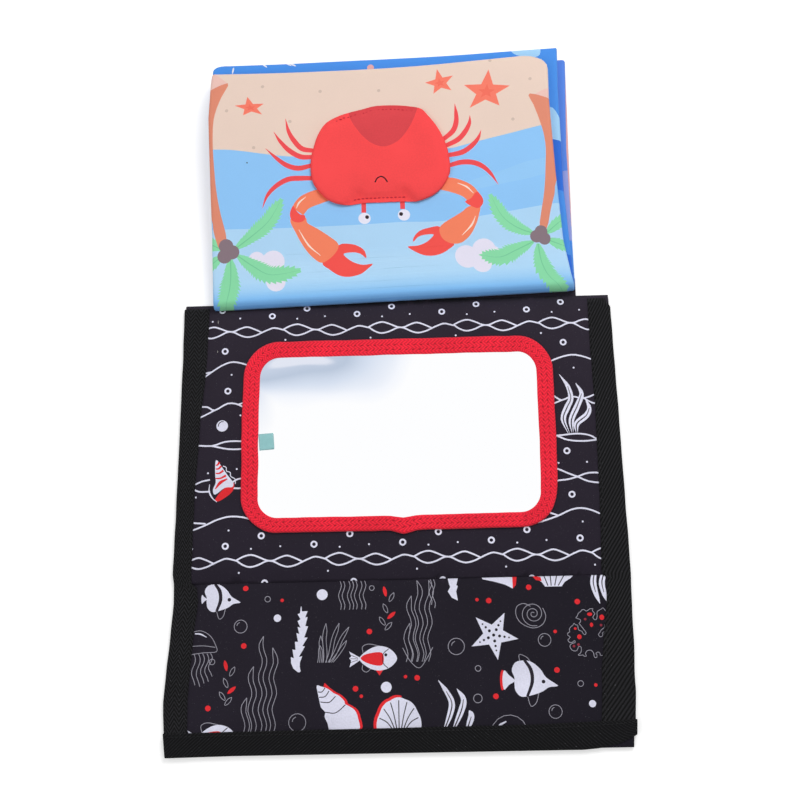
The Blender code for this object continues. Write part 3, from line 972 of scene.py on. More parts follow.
def add_side_tape(name, side, material, nodes):
    across, section_at = section_stops(TAPE_SECTION, 2)
    if side > 0:
        across = across[::-1]

    def place(at, y):
        inset, height = section_at(at)
        return side_tape_place(side, inset, y, height)

    along = stops(front_at + webbing_width - TAPE_UNDER_WEBBING, ridge_at, 3)
    data = strip_mesh(name, across, along, place)
    piece = new_piece(data, material, TAPE_THICK)
    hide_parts(*nodes)
    bend_at_crease(piece)
    seam = [(side_tape_place(side, TAPE_STITCH_INSET, y, 3.15), (0, 0, 1)) for y in along]
    data = stitch_mesh(name + "_stitches", [seam], 1.8, 0.6, 0.5, TAPE_STITCH_PITCH)
    bend_at_crease(new_piece(data, BLACK_THREAD))


# How wide the webbing is seen, and how far its front edge lies from the straight, along it.
WEBBING_SEEN_WIDTH = ((-140, 13.9), (-100, 14.2), (0, 14.6), (80, 15), (120, 16.2))
WEBBING_FRONT_SHIFT = (
    (-142, -0.6), (-100, 0), (110, 0), (120, 0.8), (131, 3), (137, 5.2), (142, 8),
)
WEBBING_END_SHORT = 2.0
WEBBING_LOWEST = 0.5
WEBBING_STITCH_INSET = 15.2
WEBBING_SECTION = (
    (13, 0), (3, 0), (0.35, 0.5), (0, 1.9), (0.35, 3.3), (2, 3.85), (9, 3.9), (16.4, 3.8), (17.2, 3.6),
    (18, 3.1),
)


def webbing_place(x, inset, height):
    """The webbing's left end stands out past the side tape, and its right corner is rounded."""
    over_tape = lift = 0.0
    if height > UPPER_SIDE_Z:
        inset *= np.interp(x, *zip(*WEBBING_SEEN_WIDTH)) / WEBBING_SECTION[-1][0]
    shift = np.interp(x, *zip(*WEBBING_FRONT_SHIFT))
    y = front_at + inset + shift * (1 - inset / webbing_width)
    far = x / webbing_high.x
    x -= WEBBING_END_SHORT * max(0, far) ** 4
    x += (2.2 + 1.2 * (1 - inset / webbing_width)) * max(0, -far) ** 6
    if height > UPPER_SIDE_Z:
        lift = 0.2 * wobble(x, inset, 13)
        over_tape = 0.45 * shoulder(abs(x) - tape_inner_x + 2, 4)
    return on_cover(x, y, max(height + lift * 0.6 + over_tape - 0.1, WEBBING_LOWEST))


def add_front_webbing():
    places, section_at = section_stops(WEBBING_SECTION, 2.2)

    def place(x, at):
        inset, height = section_at(at)
        return webbing_place(x, inset, height)

    end_x = webbing_high.x
    data = strip_mesh("front_webbing", stops(-end_x, end_x, 3), places[::-1], place)
    data.flip_normals()
    piece = new_piece(data, FRONT_WEBBING, TAPE_THICK)
    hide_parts("bottom_webbing")
    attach(piece, "base_flap")
    seam = [
        (webbing_place(x, WEBBING_STITCH_INSET, 4), (0, 0, 1))
        for x in stops(2 - end_x, end_x - 2, 4)
    ]
    data = stitch_mesh("front_webbing_stitches", [seam], 1.8, 0.55, 0.4, 2.6)
    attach(new_piece(data, BLACK_THREAD), "base_flap")


def add_spine_cloth():
    low, high = low_mm("spine_strip"), high_mm("spine_strip")
    near = ridge_at - 3.0
    along = stops(near, high.y - datum_y, 2.5)
    data = strip_mesh(
        "spine_cloth", stops(low.x, high.x, 5), along,
        lambda x, y: on_cover(x, y, high.z - 0.1 + 0.08 * wobble(x, y, 15)),
    )
    piece = new_piece(data, BACK_CLOTH, CLOTH_THICK)
    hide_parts("spine_strip")
    bend_at_ridge(piece)


COVER_HIGH = linear(46, 40, 51)
COVER_LOW = linear(38, 33, 44)
FLAP_LEFT = linear(36, 32, 42)
FLAP_RIGHT = linear(30, 27, 36)


def cover_ground(x, y):
    """Black, a little greyer towards the ridge on the panel and towards the left on the flap."""
    shares = (x + 125) / 250, (y - crease_at) / (ridge_at - crease_at)
    across, along = (clamp(share) for share in shares)
    near, far = (COVER_LOW, COVER_HIGH) if y > crease_at else (FLAP_LEFT, FLAP_RIGHT)
    share = along if y > crease_at else across
    return tuple(a + (b - a) * share for a, b in zip(near, far))


# The mirror, its red frame tape and its film's tab

FRAME_SECTION = (
    (0, 5.6), (0.1, 6.6), (0.9, 7.2), (2.6, 7.5), (4.4, 7.42), (6, 7.6), (7.7, 7.5), (8.9, 7.6),
    (10.1, 7.5), (10.8, 7.2), (11, 7),
)
FRAME_TAPE_THICK = 0.9
FRAME_STITCH_ROWS = (4.4, 7.7)
FRAME_STITCH_PITCH = 4.3
FRAME_CORNER = 24.0
FRAME_SIDES_SHIFT = (2.2, -1.2)
FRAME_TOP_SHIFT = (-1.9, -1, -0.1)
FRAME_BOTTOM_SHIFT = (-1.2, -1, 0)
FRAME_LEAN = ((0.6, 0), (0.8, 0.9), (1, 0.9))
FRAME_PINCH = ((0.04, 0.5), (0.12, 1.2), (0.35, 0))
FRAME_JOIN_X = 2.0
FRAME_JOIN_DIP = 2.4


def frame_ring(step):
    """Places round the frame's outer edge, anticlockwise, each with the way inwards."""
    half_x = (frame_high.x - frame_low.x) / 2
    half_y = (frame_high.y - frame_low.y) / 2
    centre = Vector(((frame_low.x + frame_high.x) / 2, (frame_low.y + frame_high.y) / 2))
    reach_x, reach_y = half_x - FRAME_CORNER, half_y - FRAME_CORNER
    ring = []
    for sign_x, sign_y, first in ((1, -1, -90), (1, 1, 0), (-1, 1, 90), (-1, -1, 180)):
        for angle in np.linspace(first, first + 90, 13):
            out = Vector((math.cos(math.radians(angle)), math.sin(math.radians(angle))))
            middle = centre + Vector((sign_x * reach_x, sign_y * reach_y))
            ring.append((middle + out * FRAME_CORNER, -out))
    filled = []
    for (place, way), (place_after, way_after) in zip(ring, ring[1:] + ring[:1]):
        parts = max(1, math.ceil((place_after - place).length / step))
        for part in range(parts):
            share = part / parts
            way_here = way.lerp(way_after, share).normalized()
            filled.append((place.lerp(place_after, share), way_here))
    return filled


def frame_place(place, way, inset, height):
    """A point of the frame tape, which was sewn a little crooked, with its ends laid over each
    other in the middle of its near side."""
    near_side = max(way.y, 0)
    x, y = place + way * inset * (1 - 0.15 * near_side)
    across = (x - frame_low.x) / (frame_high.x - frame_low.x)
    along = (y - frame_low.y) / (frame_high.y - frame_low.y)
    top = np.interp(across, (0, 0.5, 1), FRAME_TOP_SHIFT)
    bottom = np.interp(across, (0, 0.5, 1), FRAME_BOTTOM_SHIFT)
    side = FRAME_SIDES_SHIFT[0] + (FRAME_SIDES_SHIFT[1] - FRAME_SIDES_SHIFT[0]) * across
    side += np.interp(along, *zip(*FRAME_LEAN)) * max(0, 1 - across / 0.35)
    side -= np.interp(along, *zip(*FRAME_PINCH)) * max(0, 1 - (1 - across) / 0.3)
    join = near_side * math.exp(-(((x - FRAME_JOIN_X) / 5.5) ** 2))
    bottom -= FRAME_JOIN_DIP * join * (1 - 0.03 * inset)
    height += 0.35 * join
    wave = 0.35 * wobble(x, y, 13, 7)
    lift = 0.12 * wobble(x, y, 6, 2) if inset > 2 else 0.0
    y += bottom + (top - bottom) * along
    return x + side + way.x * wave, y + way.y * wave, height + lift


def add_frame_tape():
    ring = frame_ring(4)
    across, section_at = section_stops(FRAME_SECTION, 1)
    across = across[::-1]
    along = np.arange(len(ring) + 1)

    def place(at, number):
        inset, height = section_at(at)
        return frame_place(*ring[int(number) % len(ring)], inset, height)

    data = strip_mesh("red_frame_tape", across, along, place, closed=True)
    # Each corner's place on the tape: along the tape in metres, not by number.
    run = np.concatenate([[0], np.cumsum([
        (after[0] - before[0]).length for before, after in zip(ring, ring[1:] + ring[:1])
    ])])
    for corner in data.uv_layers["UVMap"].data:
        corner.uv.y = run[round(corner.uv.y / MM)] * MM
    piece = new_piece(data, FRAME_TAPE, FRAME_TAPE_THICK)
    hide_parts("mirror_frame_tape")
    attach(piece, "mirror_panel")
    seams = []
    for row in FRAME_STITCH_ROWS:
        height = np.interp(row, *zip(*FRAME_SECTION)) + 0.05
        seams.append([(frame_place(*spot, row, height), (0, 0, 1)) for spot in ring + ring[:1]])
    data = stitch_mesh("frame_stitches", seams, 2.1, 0.85, 0.4, FRAME_STITCH_PITCH, 0.45)
    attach(new_piece(data, RED_THREAD), "mirror_panel")


TAB_SHIFT = (1.9, -1.5, 0)
TAB_TILT = 4.0
TAB_BEND_FROM = 7.8
TAB_THICK = 0.25


def add_film_tab():
    low, high = low_mm("film_tab"), high_mm("film_tab")
    centre = (low + high) / 2 + Vector(TAB_SHIFT)
    tilt = math.radians(TAB_TILT)

    def place(x, y):
        # One corner of the tab is bent up a little.
        corner = max(0, (x - y) - TAB_BEND_FROM)
        turned = Matrix.Rotation(tilt, 2) @ Vector((x - 0.2 * corner, y + 0.2 * corner))
        height = high.z + 0.5 * corner + 0.1 * math.sin(y * 0.8)
        return centre.x + turned.x, centre.y + turned.y, height

    half_x, half_y = ((top - bottom) / 2 + 0.25 for top, bottom in zip(high.xy, low.xy))
    data = strip_mesh("teal_tab", stops(-half_x, half_x, 0.8), stops(-half_y, half_y, 0.8), place)
    piece = new_piece(data, TEAL_FILM, TAB_THICK)
    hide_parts("film_tab")
    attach(piece, "mirror_panel")


def finish_node(name, material):
    node = frame["nodes"][name]
    node.data.materials.clear()
    node.data.materials.append(material)


# The leaves: printed cloth sewn back to back round a crinkling film

LEAF_HALF = 1.05
RIM_WIDTH = 2.4
BACK_TUCK = 0.8
LOWEST = 0.05
SEAM_ROLL = 4.0
SEAM_FOOT = 0.6
FILM_INSET = 4.0
RIM_ROWS = (0.45, 1.2, 2.4)


class Leaf:
    """How one leaf really lies. Its sides are (share of the length, x) stops, its near and far
    edges y from left to right, and top its height at the seam before the roll."""

    def __init__(self, number, left, right, near, far, bow, corner):
        self.number = number
        self.body = "book_back" if number == 4 else f"page_{number}"
        self.left, self.right, self.near, self.far = left, right, near, far
        self.bow, self.corner = bow, corner
        front = f"leaf_{number}_front"
        self.top = low_mm(front).z + CLOTH_THICK
        self.lift = high_mm(front).z - self.top

    def edge_distance(self, u, v):
        return min(leaf_width / 2 - abs(u), leaf_length - v)

    def flat(self, u, v):
        s, t = u / leaf_width + 0.5, v / leaf_length
        left, right = np.interp(t, *zip(*self.left)), np.interp(t, *zip(*self.right))
        near = self.near[0] + (self.near[1] - self.near[0]) * s
        far = self.far[0] + (self.far[1] - self.far[0]) * s + self.bow * math.sin(math.pi * s)
        return left + (right - left) * s, near + (far - near) * t

    def middle_height(self, u, v):
        """The height halfway through the leaf, rolled down to the seam at its near edge."""
        t = clamp(v / leaf_length)
        height = self.top - LEAF_HALF + self.lift * math.sin(t * math.pi / 2)
        height += 0.5 * shoulder(v, 30) * wobble(u, v, 45, self.number)
        roll = clamp(1 - v / SEAM_ROLL)
        foot = SEAM_FOOT * (5 - self.number)
        return foot + (height - foot) * math.sqrt(max(1 - roll * roll, 0))

    def place(self, u, v, side):
        """A point of the front sheet, side 1, which wraps the rim, or of the back one, side -1."""
        tuck = BACK_TUCK if side < 0 else 0.0
        x, y = self.flat(u * (1 - 2 * tuck / leaf_width), v * (1 - tuck / leaf_length))
        rounded = round_over(self.edge_distance(u, v) / RIM_WIDTH)
        half = LEAF_HALF * (rounded if side < 0 else 1.5 * rounded - 0.5)
        roll = clamp(1 - v / SEAM_ROLL)
        height = max(self.middle_height(u, v) + side * half, LOWEST)
        return x, y + datum_y - side * half * roll * 0.8, height

    def outline(self, inset=0):
        """The leaf's edge, or a line inside it, with rounded far corners."""
        half, far = leaf_width / 2 - inset, leaf_length - inset
        arc = [math.radians(angle) for angle in range(0, 91, 15)]
        sides = []
        for side, (across, along) in zip((-1, 1), self.corner):
            across, along = max(across - inset, 0.5), max(along - inset, 0.5)
            sides.append([
                (side * (half - across * (1 - math.cos(a))), far - along * (1 - math.sin(a)))
                for a in arc
            ])
        return [(-half, 0.3 * inset), (half, 0.3 * inset), *sides[1], *sides[0][::-1]]

    def bend(self, piece):
        if self.number == 4:
            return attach(piece, "book_back")
        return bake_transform(piece)


LEAVES = (
    Leaf(
        1,
        [(0, -118.8), (0.3, -119.7), (0.45, -120.8), (0.8, -123), (0.95, -121.8), (1, -121)],
        [(0, 117.3), (0.06, 115.1), (0.19, 111), (0.47, 107.6), (0.79, 105.2), (1, 105.5)], (61.2, 71),
        (223.5, 235), -3.5, ((3, 3), (24, 12)),
    ),
    Leaf(
        2, [(0, -119), (1, -121.5)], [(0, 117.5), (0.4, 113), (0.8, 112.3), (1, 113)],
        (62.5, 71.5), (233, 242.5), -1.5, ((11, 5), (2, 2)),
    ),
    Leaf(
        3, [(0, -118.8), (1, -119.5)], [(0, 118), (0.6, 116.7), (1, 119)],
        (63.2, 71.5), (230, 237), -1, ((6, 6), (4, 3)),
    ),
    Leaf(
        4, [(0, -118.5), (1, -118)], [(0, 117.6), (1, 119.6)],
        (64, 71.5), (228, 236.6), -1, ((6, 6), (5, 5)),
    ),
)


def add_leaf(leaf, front_print, front_ground, back_print, back_ground):
    sides = (("front", 1, front_print, front_ground), ("back", -1, back_print, back_ground))
    for name, side, art, ground in sides:
        for inset in RIM_ROWS:
            art.fold(resample(leaf.outline(inset), 5))
        label = f"leaf_{leaf.number}_{name}_cloth"
        data = printed_mesh(
            label, leaf.outline(), art, ground, lambda u, v: leaf.place(u, v, side), 5,
        )
        if side < 0:
            data.flip_normals()
        piece = new_piece(data, PRINTED_PAGE, CLOTH_THICK)
        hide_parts(f"leaf_{leaf.number}_{name}")
        leaf.bend(piece)
    half, far = leaf_width / 2 - FILM_INSET, leaf_length - FILM_INSET

    def film_place(u, v):
        x, y = leaf.flat(u, v)
        return x, y + datum_y, leaf.middle_height(u, v) + 0.1

    label = f"leaf_{leaf.number}_crinkle_film"
    data = strip_mesh(label, stops(-half, half, 6), stops(SEAM_ROLL, far, 6), film_place)
    piece = new_piece(data, CRINKLE_FILM, 0.2)
    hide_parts(f"leaf_{leaf.number}_film")
    leaf.bend(piece)


# The cover's prints: waves and common sea creatures in white, red and thin grey lines

BLACK_INK = linear(44, 39, 49)
SEA_LINE = 1.05
DIM_RED = linear(150, 52, 66)
THIN_LINE = 0.38
WAVE_UNIT = 55.33
WAVE_UPPER = (
    (0, 0.6), (4.5, 2.9), (9.3, 3.9), (14.2, 2.3), (18.8, 0.3), (22.9, 0.1), (27, 1.9), (31.6, 3.1),
    (36.5, 1.4), (41.3, -0.9),
)
WAVE_LOWER = (
    (0, 0.6), (3.8, -2.2), (8.3, -3.7), (13.5, -2.6), (18.8, -0.2), (22.9, -0.4), (27.5, -2.7), (32, -3.9),
    (37, -2.9), (41.3, -0.9),
)
WAVE_HUMP = ((41.3, -0.9), (45.5, 1), (49.5, 2.1), (55.6, 0.6))


def moved(points, x, y, size=1, turn=0):
    """Points drawn round the origin, taken to their place on the cloth."""
    cos, sin = math.cos(math.radians(turn)), math.sin(math.radians(turn))
    return [
        (x + size * (px * cos - py * sin), y + size * (px * sin + py * cos)) for px, py in points
    ]


def thin_line(art, points, steps=4):
    art.line(points, THIN_LINE, GREY_LINE, steps)


def along_waves(places, count, rise):
    """The places again at each wave of a row."""
    return [(x + number * WAVE_UNIT, y + number * rise) for x, y in places for number in range(count)]


def small_rings(art, places, count=1, rise=0):
    for x, y in along_waves(places, count, rise):
        art.ring(x, y, 2.25, WHITE, 1.15)


def dots(art, places, radius=0.62, ink=WHITE, count=1, rise=0):
    for x, y in along_waves(places, count, rise):
        art.disc(x, y, radius, ink, 10)


def wave_row(art, first, count, rise):
    for x, y in along_waves([first], count, rise):
        for curve in (WAVE_UPPER, WAVE_LOWER, WAVE_HUMP):
            art.line(moved(curve, x, y), SEA_LINE, WHITE, 3)


def bubble(art, x, y, radius):
    art.ring(x, y, radius, GREY_LINE, THIN_LINE)
    if radius > 9:
        shine = ((-0.62, 0.1), (-0.5, 0.45), (-0.15, 0.66))
        art.taper(moved(shine, x, y, radius), [0.7, 1.5, 0.7], WHITE)
    elif radius > 3:
        shine = ((-0.55, 0.1), (-0.45, 0.4), (-0.15, 0.6))
        thin_line(art, moved(shine, x, y, radius))


def veined_weed(art, fronds):
    """Broad white fronds, each with a dark vein. A frond is its middle line from the root up."""
    for frond in fronds:
        art.taper(frond, [1, 3.4, 3.9, 3.4, 2.6, 0.3], WHITE)
        art.taper(frond[:-1], [0.75, 0.7, 0.35], BLACK_INK)


def conch(art, x, y, size):
    """A pointed shell with red bands across its cone, and a red lip."""
    def at(points):
        return moved(points, x, y, size)

    body = (
        (-3.4, 13.8), (1.4, 7.6), (4.3, 3.4), (7.9, -1.4), (7.6, -4.6), (2.5, -5.2), (-3.6, -9.6),
        (-5.2, -6.4), (-3.4, -1.4), (-3.9, 4.4),
    )
    lip = ((7.8, -1.6), (8.6, -5.2), (6, -9.4), (-1, -14), (-3.6, -13), (0.5, -7.2))
    art.blob(at(lip), RED)
    art.blob(at(body), WHITE)
    for low in (10.6, 8, 5, 1.6):
        wide = (14.5 - low) * 0.5
        band = ((-3.6, low - 0.3), (-3.4 + wide * 0.5, low - 0.2), (-3.2 + wide, low + 1.6))
        art.taper(at(band), [0.7 * size, 1.5 * size], RED)
    art.taper(at(((-3.6, -5.8), (-0.4, -1.6), (4.2, 0.9))), [0.6, 2.1, 0.8], RED)
    halo = ((-7.4, -2.6), (-7.6, -7.4), (-5.6, -11.6), (-2.4, -14.6))
    art.taper(at(halo), [0.4, 1, 0.4], WHITE)
    edge = ((1.2, 9.6), (3.3, 8.6), (3.6, 6.2), (6, 5.2), (6.4, 2.6), (9.3, 0.6), (9.5, -2.6))
    art.line(at(edge), 0.55, WHITE)


# The wave lines at both sides of the mirror.
SIDE_WAVES = (
    ((-128, 13.6), (-120.7, 18.2), (-110.1, 24), (-103, 24.7), (-93, 21.5)),
    ((-128, 18.2), (-124, 18.4), (-119.6, 18.9)),
    ((-128, -3.9), (-122, -4.6), (-117, -7.2), (-108.8, -2.9), (-101.5, -3.9), (-95, -8.5)),
    ((-129, -11.9), (-123, -9.8), (-117, -7.2)), ((-102, -3.7), (-95, -1.2)),
    ((-131, -29), (-118.7, -30.7), (-110, -28.2), (-100, -28), (-90, -30)),
    ((-118.7, -30.7), (-108, -33), (-99, -33), (-90, -31.5)),
    ((-131, -56), (-125, -53.6), (-119.3, -52.8)), ((-131, -57.5), (-126, -60), (-119, -60.4)),
    ((-105.6, -55), (-101.5, -52.6), (-94, -51.6)), ((-105.2, -58.4), (-99, -58.6), (-94, -58)),
    ((-131, -84.8), (-122, -82), (-113.8, -78.4), (-105.4, -76.6), (-95, -78), (-86, -83)),
    ((-131, -79.6), (-121.5, -80.9)), ((92, 17.8), (99.1, 21.6), (107.8, 24.8), (116, 25.7), (130, 22.6)),
    ((95, 1), (100.6, -1.9), (105.3, -4.6), (111.8, -2.3), (119.7, -3.4), (131, 1.6)),
    ((95, -8.2), (100.4, -6.6), (105.3, -4.6)), ((119.7, -3.4), (125, -6), (131, -6.4)),
    ((95, -27), (101, -28), (113, -27), (122, -27.8), (127, -30.2)),
    ((101, -28), (108, -31), (118, -31.8), (127, -30.4)),
    ((95, -48.6), (101, -49.9), (106.4, -52.4), (112.8, -55), (120, -58), (131, -58.6)),
    ((95, -58.4), (101, -57.2), (106.8, -56.6), (112.8, -55), (120.5, -52.4), (131, -52)),
    (
        (86, -84), (92.5, -82.2), (100, -79.6), (107.5, -76.2), (114.2, -75.2), (122, -76.8), (131, -80.4),
    ),
    ((92, -77), (99.4, -79.6)),
)


def wave_print():
    art = Print()
    wave_row(art, (-73.2 - WAVE_UNIT, 45.6), 5, 0.5)
    wave_row(art, (-101.9 - WAVE_UNIT, -105.3), 6, 0.3)
    small_rings(art, [(-136, 55.6), (-113.4, 60.9)], 5, 0.5)
    small_rings(art, [(-108.9, -95.4), (-86.5, -89.2)], 5, 0.3)
    small_rings(art, [(-84.4, -118.5)], 4)
    dots(art, [(-119.7, 53.4), (-101.6, 54.8), (-72, 39.4)], count=5, rise=0.5)
    dots(art, [(-148.2, -97.6), (-129.9, -96.3), (-100.3, -112.1)], count=6, rise=0.3)
    for line in SIDE_WAVES:
        art.line(line, SEA_LINE, WHITE, 3)
    small_rings(art, [(-111, 32.3), (-108.8, 5.4), (108.1, 34.4), (107, -38.1), (108.8, -66.3)])
    dots(art, [
        (-106.6, 16.3), (-100.5, -10.9), (-102.4, -46.1), (-120.6, -48.4), (-128.3, -63.4), (-107, -85.5),
        (114, 17), (101.3, -45.9), (119.4, -45.4), (114.6, -83.8),
    ])
    art.disc(-112.1, -17.7, 3.7, WHITE, 20)
    art.line(((-114.6, -18), (-114.2, -16.2), (-112.8, -15), (-111.2, -14.9)), 0.55, BLACK_INK)
    veined_weed(art, (
        ((108.9, -26.8), (105.7, -17.2), (108.5, -9.6), (111.2, -3.5), (109.6, 4.6), (104.5, 12.6)),
        ((111.2, -26.4), (110.9, -17.8), (115.4, -8), (118.3, -0.4), (114.8, 6.6)),
        ((113.9, -26.4), (114.2, -20.4), (120.6, -14.9), (122.9, -9.8), (120.6, -3.6)),
    ))
    conch(art, -112.3, -53.2, 0.96)
    return art


def butterfly_fish(art, x, y, size, turn, red_tail, tail_size=1):
    """A round fish with a pointed snout and one dark band, looking right."""
    def at(points):
        return moved(points, x, y, size, turn)

    tail = ((-8.6, -1), (-12, 2.4), (-15, 5.4), (-16.2, 0), (-15.4, -6.4), (-12.4, -3.6))
    tail = [(-8.6 + (px + 8.6) * tail_size, py * tail_size) for px, py in tail]
    if red_tail:
        art.blob(at([(px * 1.17 + 1.2, py * 1.05) for px, py in tail]), RED)
    art.blob(at(tail), WHITE)
    body = (
        (-8.8, 1), (-10.2, 5.6), (-7.7, 10.3), (-1.9, 11.3), (2.9, 9.9), (7.7, 5.6), (11, 0.6),
        (17.4, -3.9), (17.2, -4.9), (12.5, -5.4), (7.7, -8.2), (1, -10.2), (-4.8, -10.8), (-8.2, -7.5),
        (-8.9, -3.4),
    )
    for fin in (
        ((-5, 10), (-5.2, 15), (-0.6, 13.2), (1.6, 10.2)),
        ((-1.2, -10), (0.8, -16.6), (4.2, -14.6), (6, -8.8)),
    ):
        thin_line(art, at(fin))
    art.blob(at(body), WHITE)
    band = ((-2.2, 11.6), (1.6, 5.6), (2.2, -2), (-1.2, -10.8))
    art.taper(at(band), [1.6, 2.2, 2.1, 1.6], BLACK_INK)
    art.disc(*at([(9.2, -1.9)])[0], 1.15, BLACK_INK, 10)


def striped_fish(art, x, y):
    """A long fish with a red back, a lined tail and one fin below."""
    def at(points):
        return moved(points, x, y)

    for fin in (
        ((-9, 3.4), (-9.4, 7.2), (-5.6, 8.9), (1, 7.6)),
        ((-9.4, -3.6), (-9.6, -6.6), (-7, -8), (-4.4, -6)),
    ):
        thin_line(art, at(fin))
    art.fill(at(((-1.6, -6.6), (0.8, -10.2), (3.2, -6.6))), RED)
    art.blob(at((
        (-11.4, 0), (-5.7, 5.5), (1, 7.6), (7.6, 5.6), (11.7, 0), (7.6, -5.2), (1, -7.2), (-5.7, -5.5),
    )), WHITE)
    art.fill(at((
        (-10.6, 0.6), (-17.6, 4.6), (-16.4, 1.6), (-17.6, 0.4), (-16.4, -1), (-17.4, -5), (-10.6, -0.6),
    )), WHITE)
    for end in (2.4, 0.2, -2.2):
        art.line(at(((-16.9, end), (-12.2, end * 0.25))), 0.3, BLACK_INK)
    art.blob(at(((-10.6, 0.2), (-6.4, 3), (2.6, 3.4), (2.6, -3.9), (-5, -3.2))), RED)
    art.line(at(((6.6, 5.8), (3.2, 2.6), (3.2, -2.8), (6, -5.8))), 0.5, BLACK_INK)
    art.disc(*at([(4.8, 2.2)])[0], 0.95, BLACK_INK, 10)


def starfish(art, x, y, size, turn):
    """A starfish with straight pointed arms and a row of dark dots down each."""
    points = []
    for a in np.radians(range(turn, turn + 360, 72)):
        valley = a + math.radians(36)
        points += [
            (x + size * math.cos(a), y + size * math.sin(a)),
            (x + size * 0.42 * math.cos(valley), y + size * 0.42 * math.sin(valley)),
        ]
    art.fill(points, WHITE)
    art.disc(x, y, 1, BLACK_INK, 8)
    for tip_x, tip_y in points[::2]:
        for share, radius in ((0.24, 0.95), (0.44, 0.75), (0.62, 0.55)):
            art.disc(x + (tip_x - x) * share, y + (tip_y - y) * share, radius, BLACK_INK, 8)


def sea_snail(art, x, y, size):
    """A spiral shell in one thin line."""
    coil = []
    for step in range(46):
        turn = step / 45
        angle = 2 * math.pi * 2.7 * turn + 0.6
        radius = size * (0.08 + 0.75 * turn ** 1.25)
        coil.append((x + radius * math.cos(angle), y + radius * math.sin(angle)))
    thin_line(art, coil, 2)
    mouth = moved((
        (-0.2, 0.62), (-0.75, 0.85), (-1.3, 0.62), (-1.42, 0), (-1.15, -0.6), (-0.6, -1), (0.1, -1.15),
        (0.75, -0.85), (1.02, -0.2), (0.8, 0.45),
    ), x, y, size * 0.82)
    thin_line(art, mouth)


def outlined_frond(art, x, y, height, width, sway, lean=0):
    """A wavy frond in two thin lines that meet at its tip."""
    count = max(4, round(height / 4.5))
    for side in (-1, 1):
        curve = []
        for step in range(count + 1):
            t = step / count
            half = width / 2 * min(1, (1 - t) / 0.12) ** 0.5
            middle = sway * math.sin(2 * math.pi * height * t / 19)
            curve.append((x + middle + lean * t + side * half, y + height * t))
        thin_line(art, curve, 2)


def sprig(art, x, y):
    """Small leaves in pairs, some red and some in outline."""
    leaves = (
        (0, 0, 102, True), (4.1, -3.6, 62, False), (0.1, -10.4, 114, False),
        (3.8, -14.8, 40, True), (-1.9, -18.2, 124, False), (1.9, -21.4, 48, False),
    )
    for shift_x, shift_y, turn, red in leaves:
        lens = ((3.3, 0), (1.2, 1.05), (-1.4, 1), (-3.3, 0), (-1.4, -1), (1.2, -1.05))
        shape = moved(lens, x + shift_x, y + shift_y, 1 if red else 0.95, turn)
        if red:
            art.blob(shape, RED, 3)
        else:
            art.line([*shape, shape[0]], 0.36, GREY_LINE, 3)


# Round the toothed leaf, from its top down its right side and up its left one.
WEED_LEAF = (
    (0, 0), (0.3, -3), (3.8, -2.9), (2.3, -6.8), (3.8, -6.5), (2.4, -12), (4.1, -12.3), (1.7, -19),
    (3.8, -19.1), (0.6, -24.2), (2.1, -24.5), (-1.5, -30.7), (0.5, -30.4), (-0.9, -34.2), (-1, -36.8),
    (-0.4, -39.4), (-1.3, -40.1), (-2.2, -39.9), (-4.9, -37.7), (-6.3, -34.5), (-6.4, -30.7),
    (-4.6, -31.6), (-5.5, -26.2), (-3.6, -26.5), (-4, -21.5), (-2.1, -21.5), (-3.1, -16.2), (-1.3, -16.8),
    (-2.4, -12.5), (-0.6, -12.9), (-2.4, -9), (-0.6, -7.7), (-2.4, -4.6), (-0.9, -4.1), (-0.4, -0.3),
)


def serrated_weed(art):
    """A toothed white leaf, standing on its point, and the root of another at the seam."""
    art.fill(moved(WEED_LEAF, -61.4, -133.6), WHITE)
    art.fill((
        (29.1, -116.6), (35.9, -116.6), (34.5, -122.1), (35.4, -122.6), (34.3, -125.9), (35.2, -131.7),
        (31.5, -129.8), (29.1, -125.9), (30.7, -123.1), (30, -121.2),
    ), WHITE)


def sea_shell(art, x, y, width, height):
    """A round ribbed shell with a red rim, hinge down."""
    angles = np.linspace(math.radians(-8), math.radians(188), 37)
    wave = 1 + 0.035 * np.abs(np.sin(4.5 * (angles + 0.14)))
    fan = [(width * math.cos(a) * w, height * math.sin(a) * w) for a, w in zip(angles, wave)]
    rim = [(-0.9 + px * 1.07, 0.5 + py * 1.05) for px, py in fan[16:]]
    hinge = [(-width * 0.35, -height * 0.35), (width * 0.35, -height * 0.35)]
    art.fill(moved(rim + [(-3, -3)], x, y), RED)
    art.fill(moved(fan + hinge, x, y), WHITE)
    for a in np.radians(np.linspace(20, 160, 7)):
        art.line(moved((
            (width * 0.12 * math.cos(a), -height * 0.3),
            (width * 0.55 * math.cos(a), height * 0.42 * math.sin(a)),
            (width * 0.95 * math.cos(a), height * 0.93 * math.sin(a)),
        ), x, y), 0.6, BLACK_INK)


def shell_at_seam(art):
    """The lower ends of a ribbed shell and of a pointed one, which the seam cuts off."""
    art.fill((
        (85, -116.8), (107.6, -116.8), (105.6, -118.8), (101.7, -121.2), (99.7, -124), (89.4, -124),
        (87.5, -121.2), (84.5, -118.8),
    ), WHITE)
    for top_x, foot_x in ((89, 91.2), (93, 93.2), (97, 95.4), (101.6, 97.6)):
        art.line(((top_x, -116.8), (foot_x, -123.4)), 0.6, BLACK_INK)
    art.fill(((81.1, -116.4), (87, -117.8), (87.5, -120.5), (84, -119.7)), RED)
    art.fill((
        (50, -116.6), (69.4, -116.6), (69.4, -124.8), (64.5, -122.2), (58, -120.2), (51, -118.6),
    ), WHITE)
    art.fill(((69.4, -116.6), (72.2, -116.6), (71.4, -122.6), (69.4, -124.8)), RED)


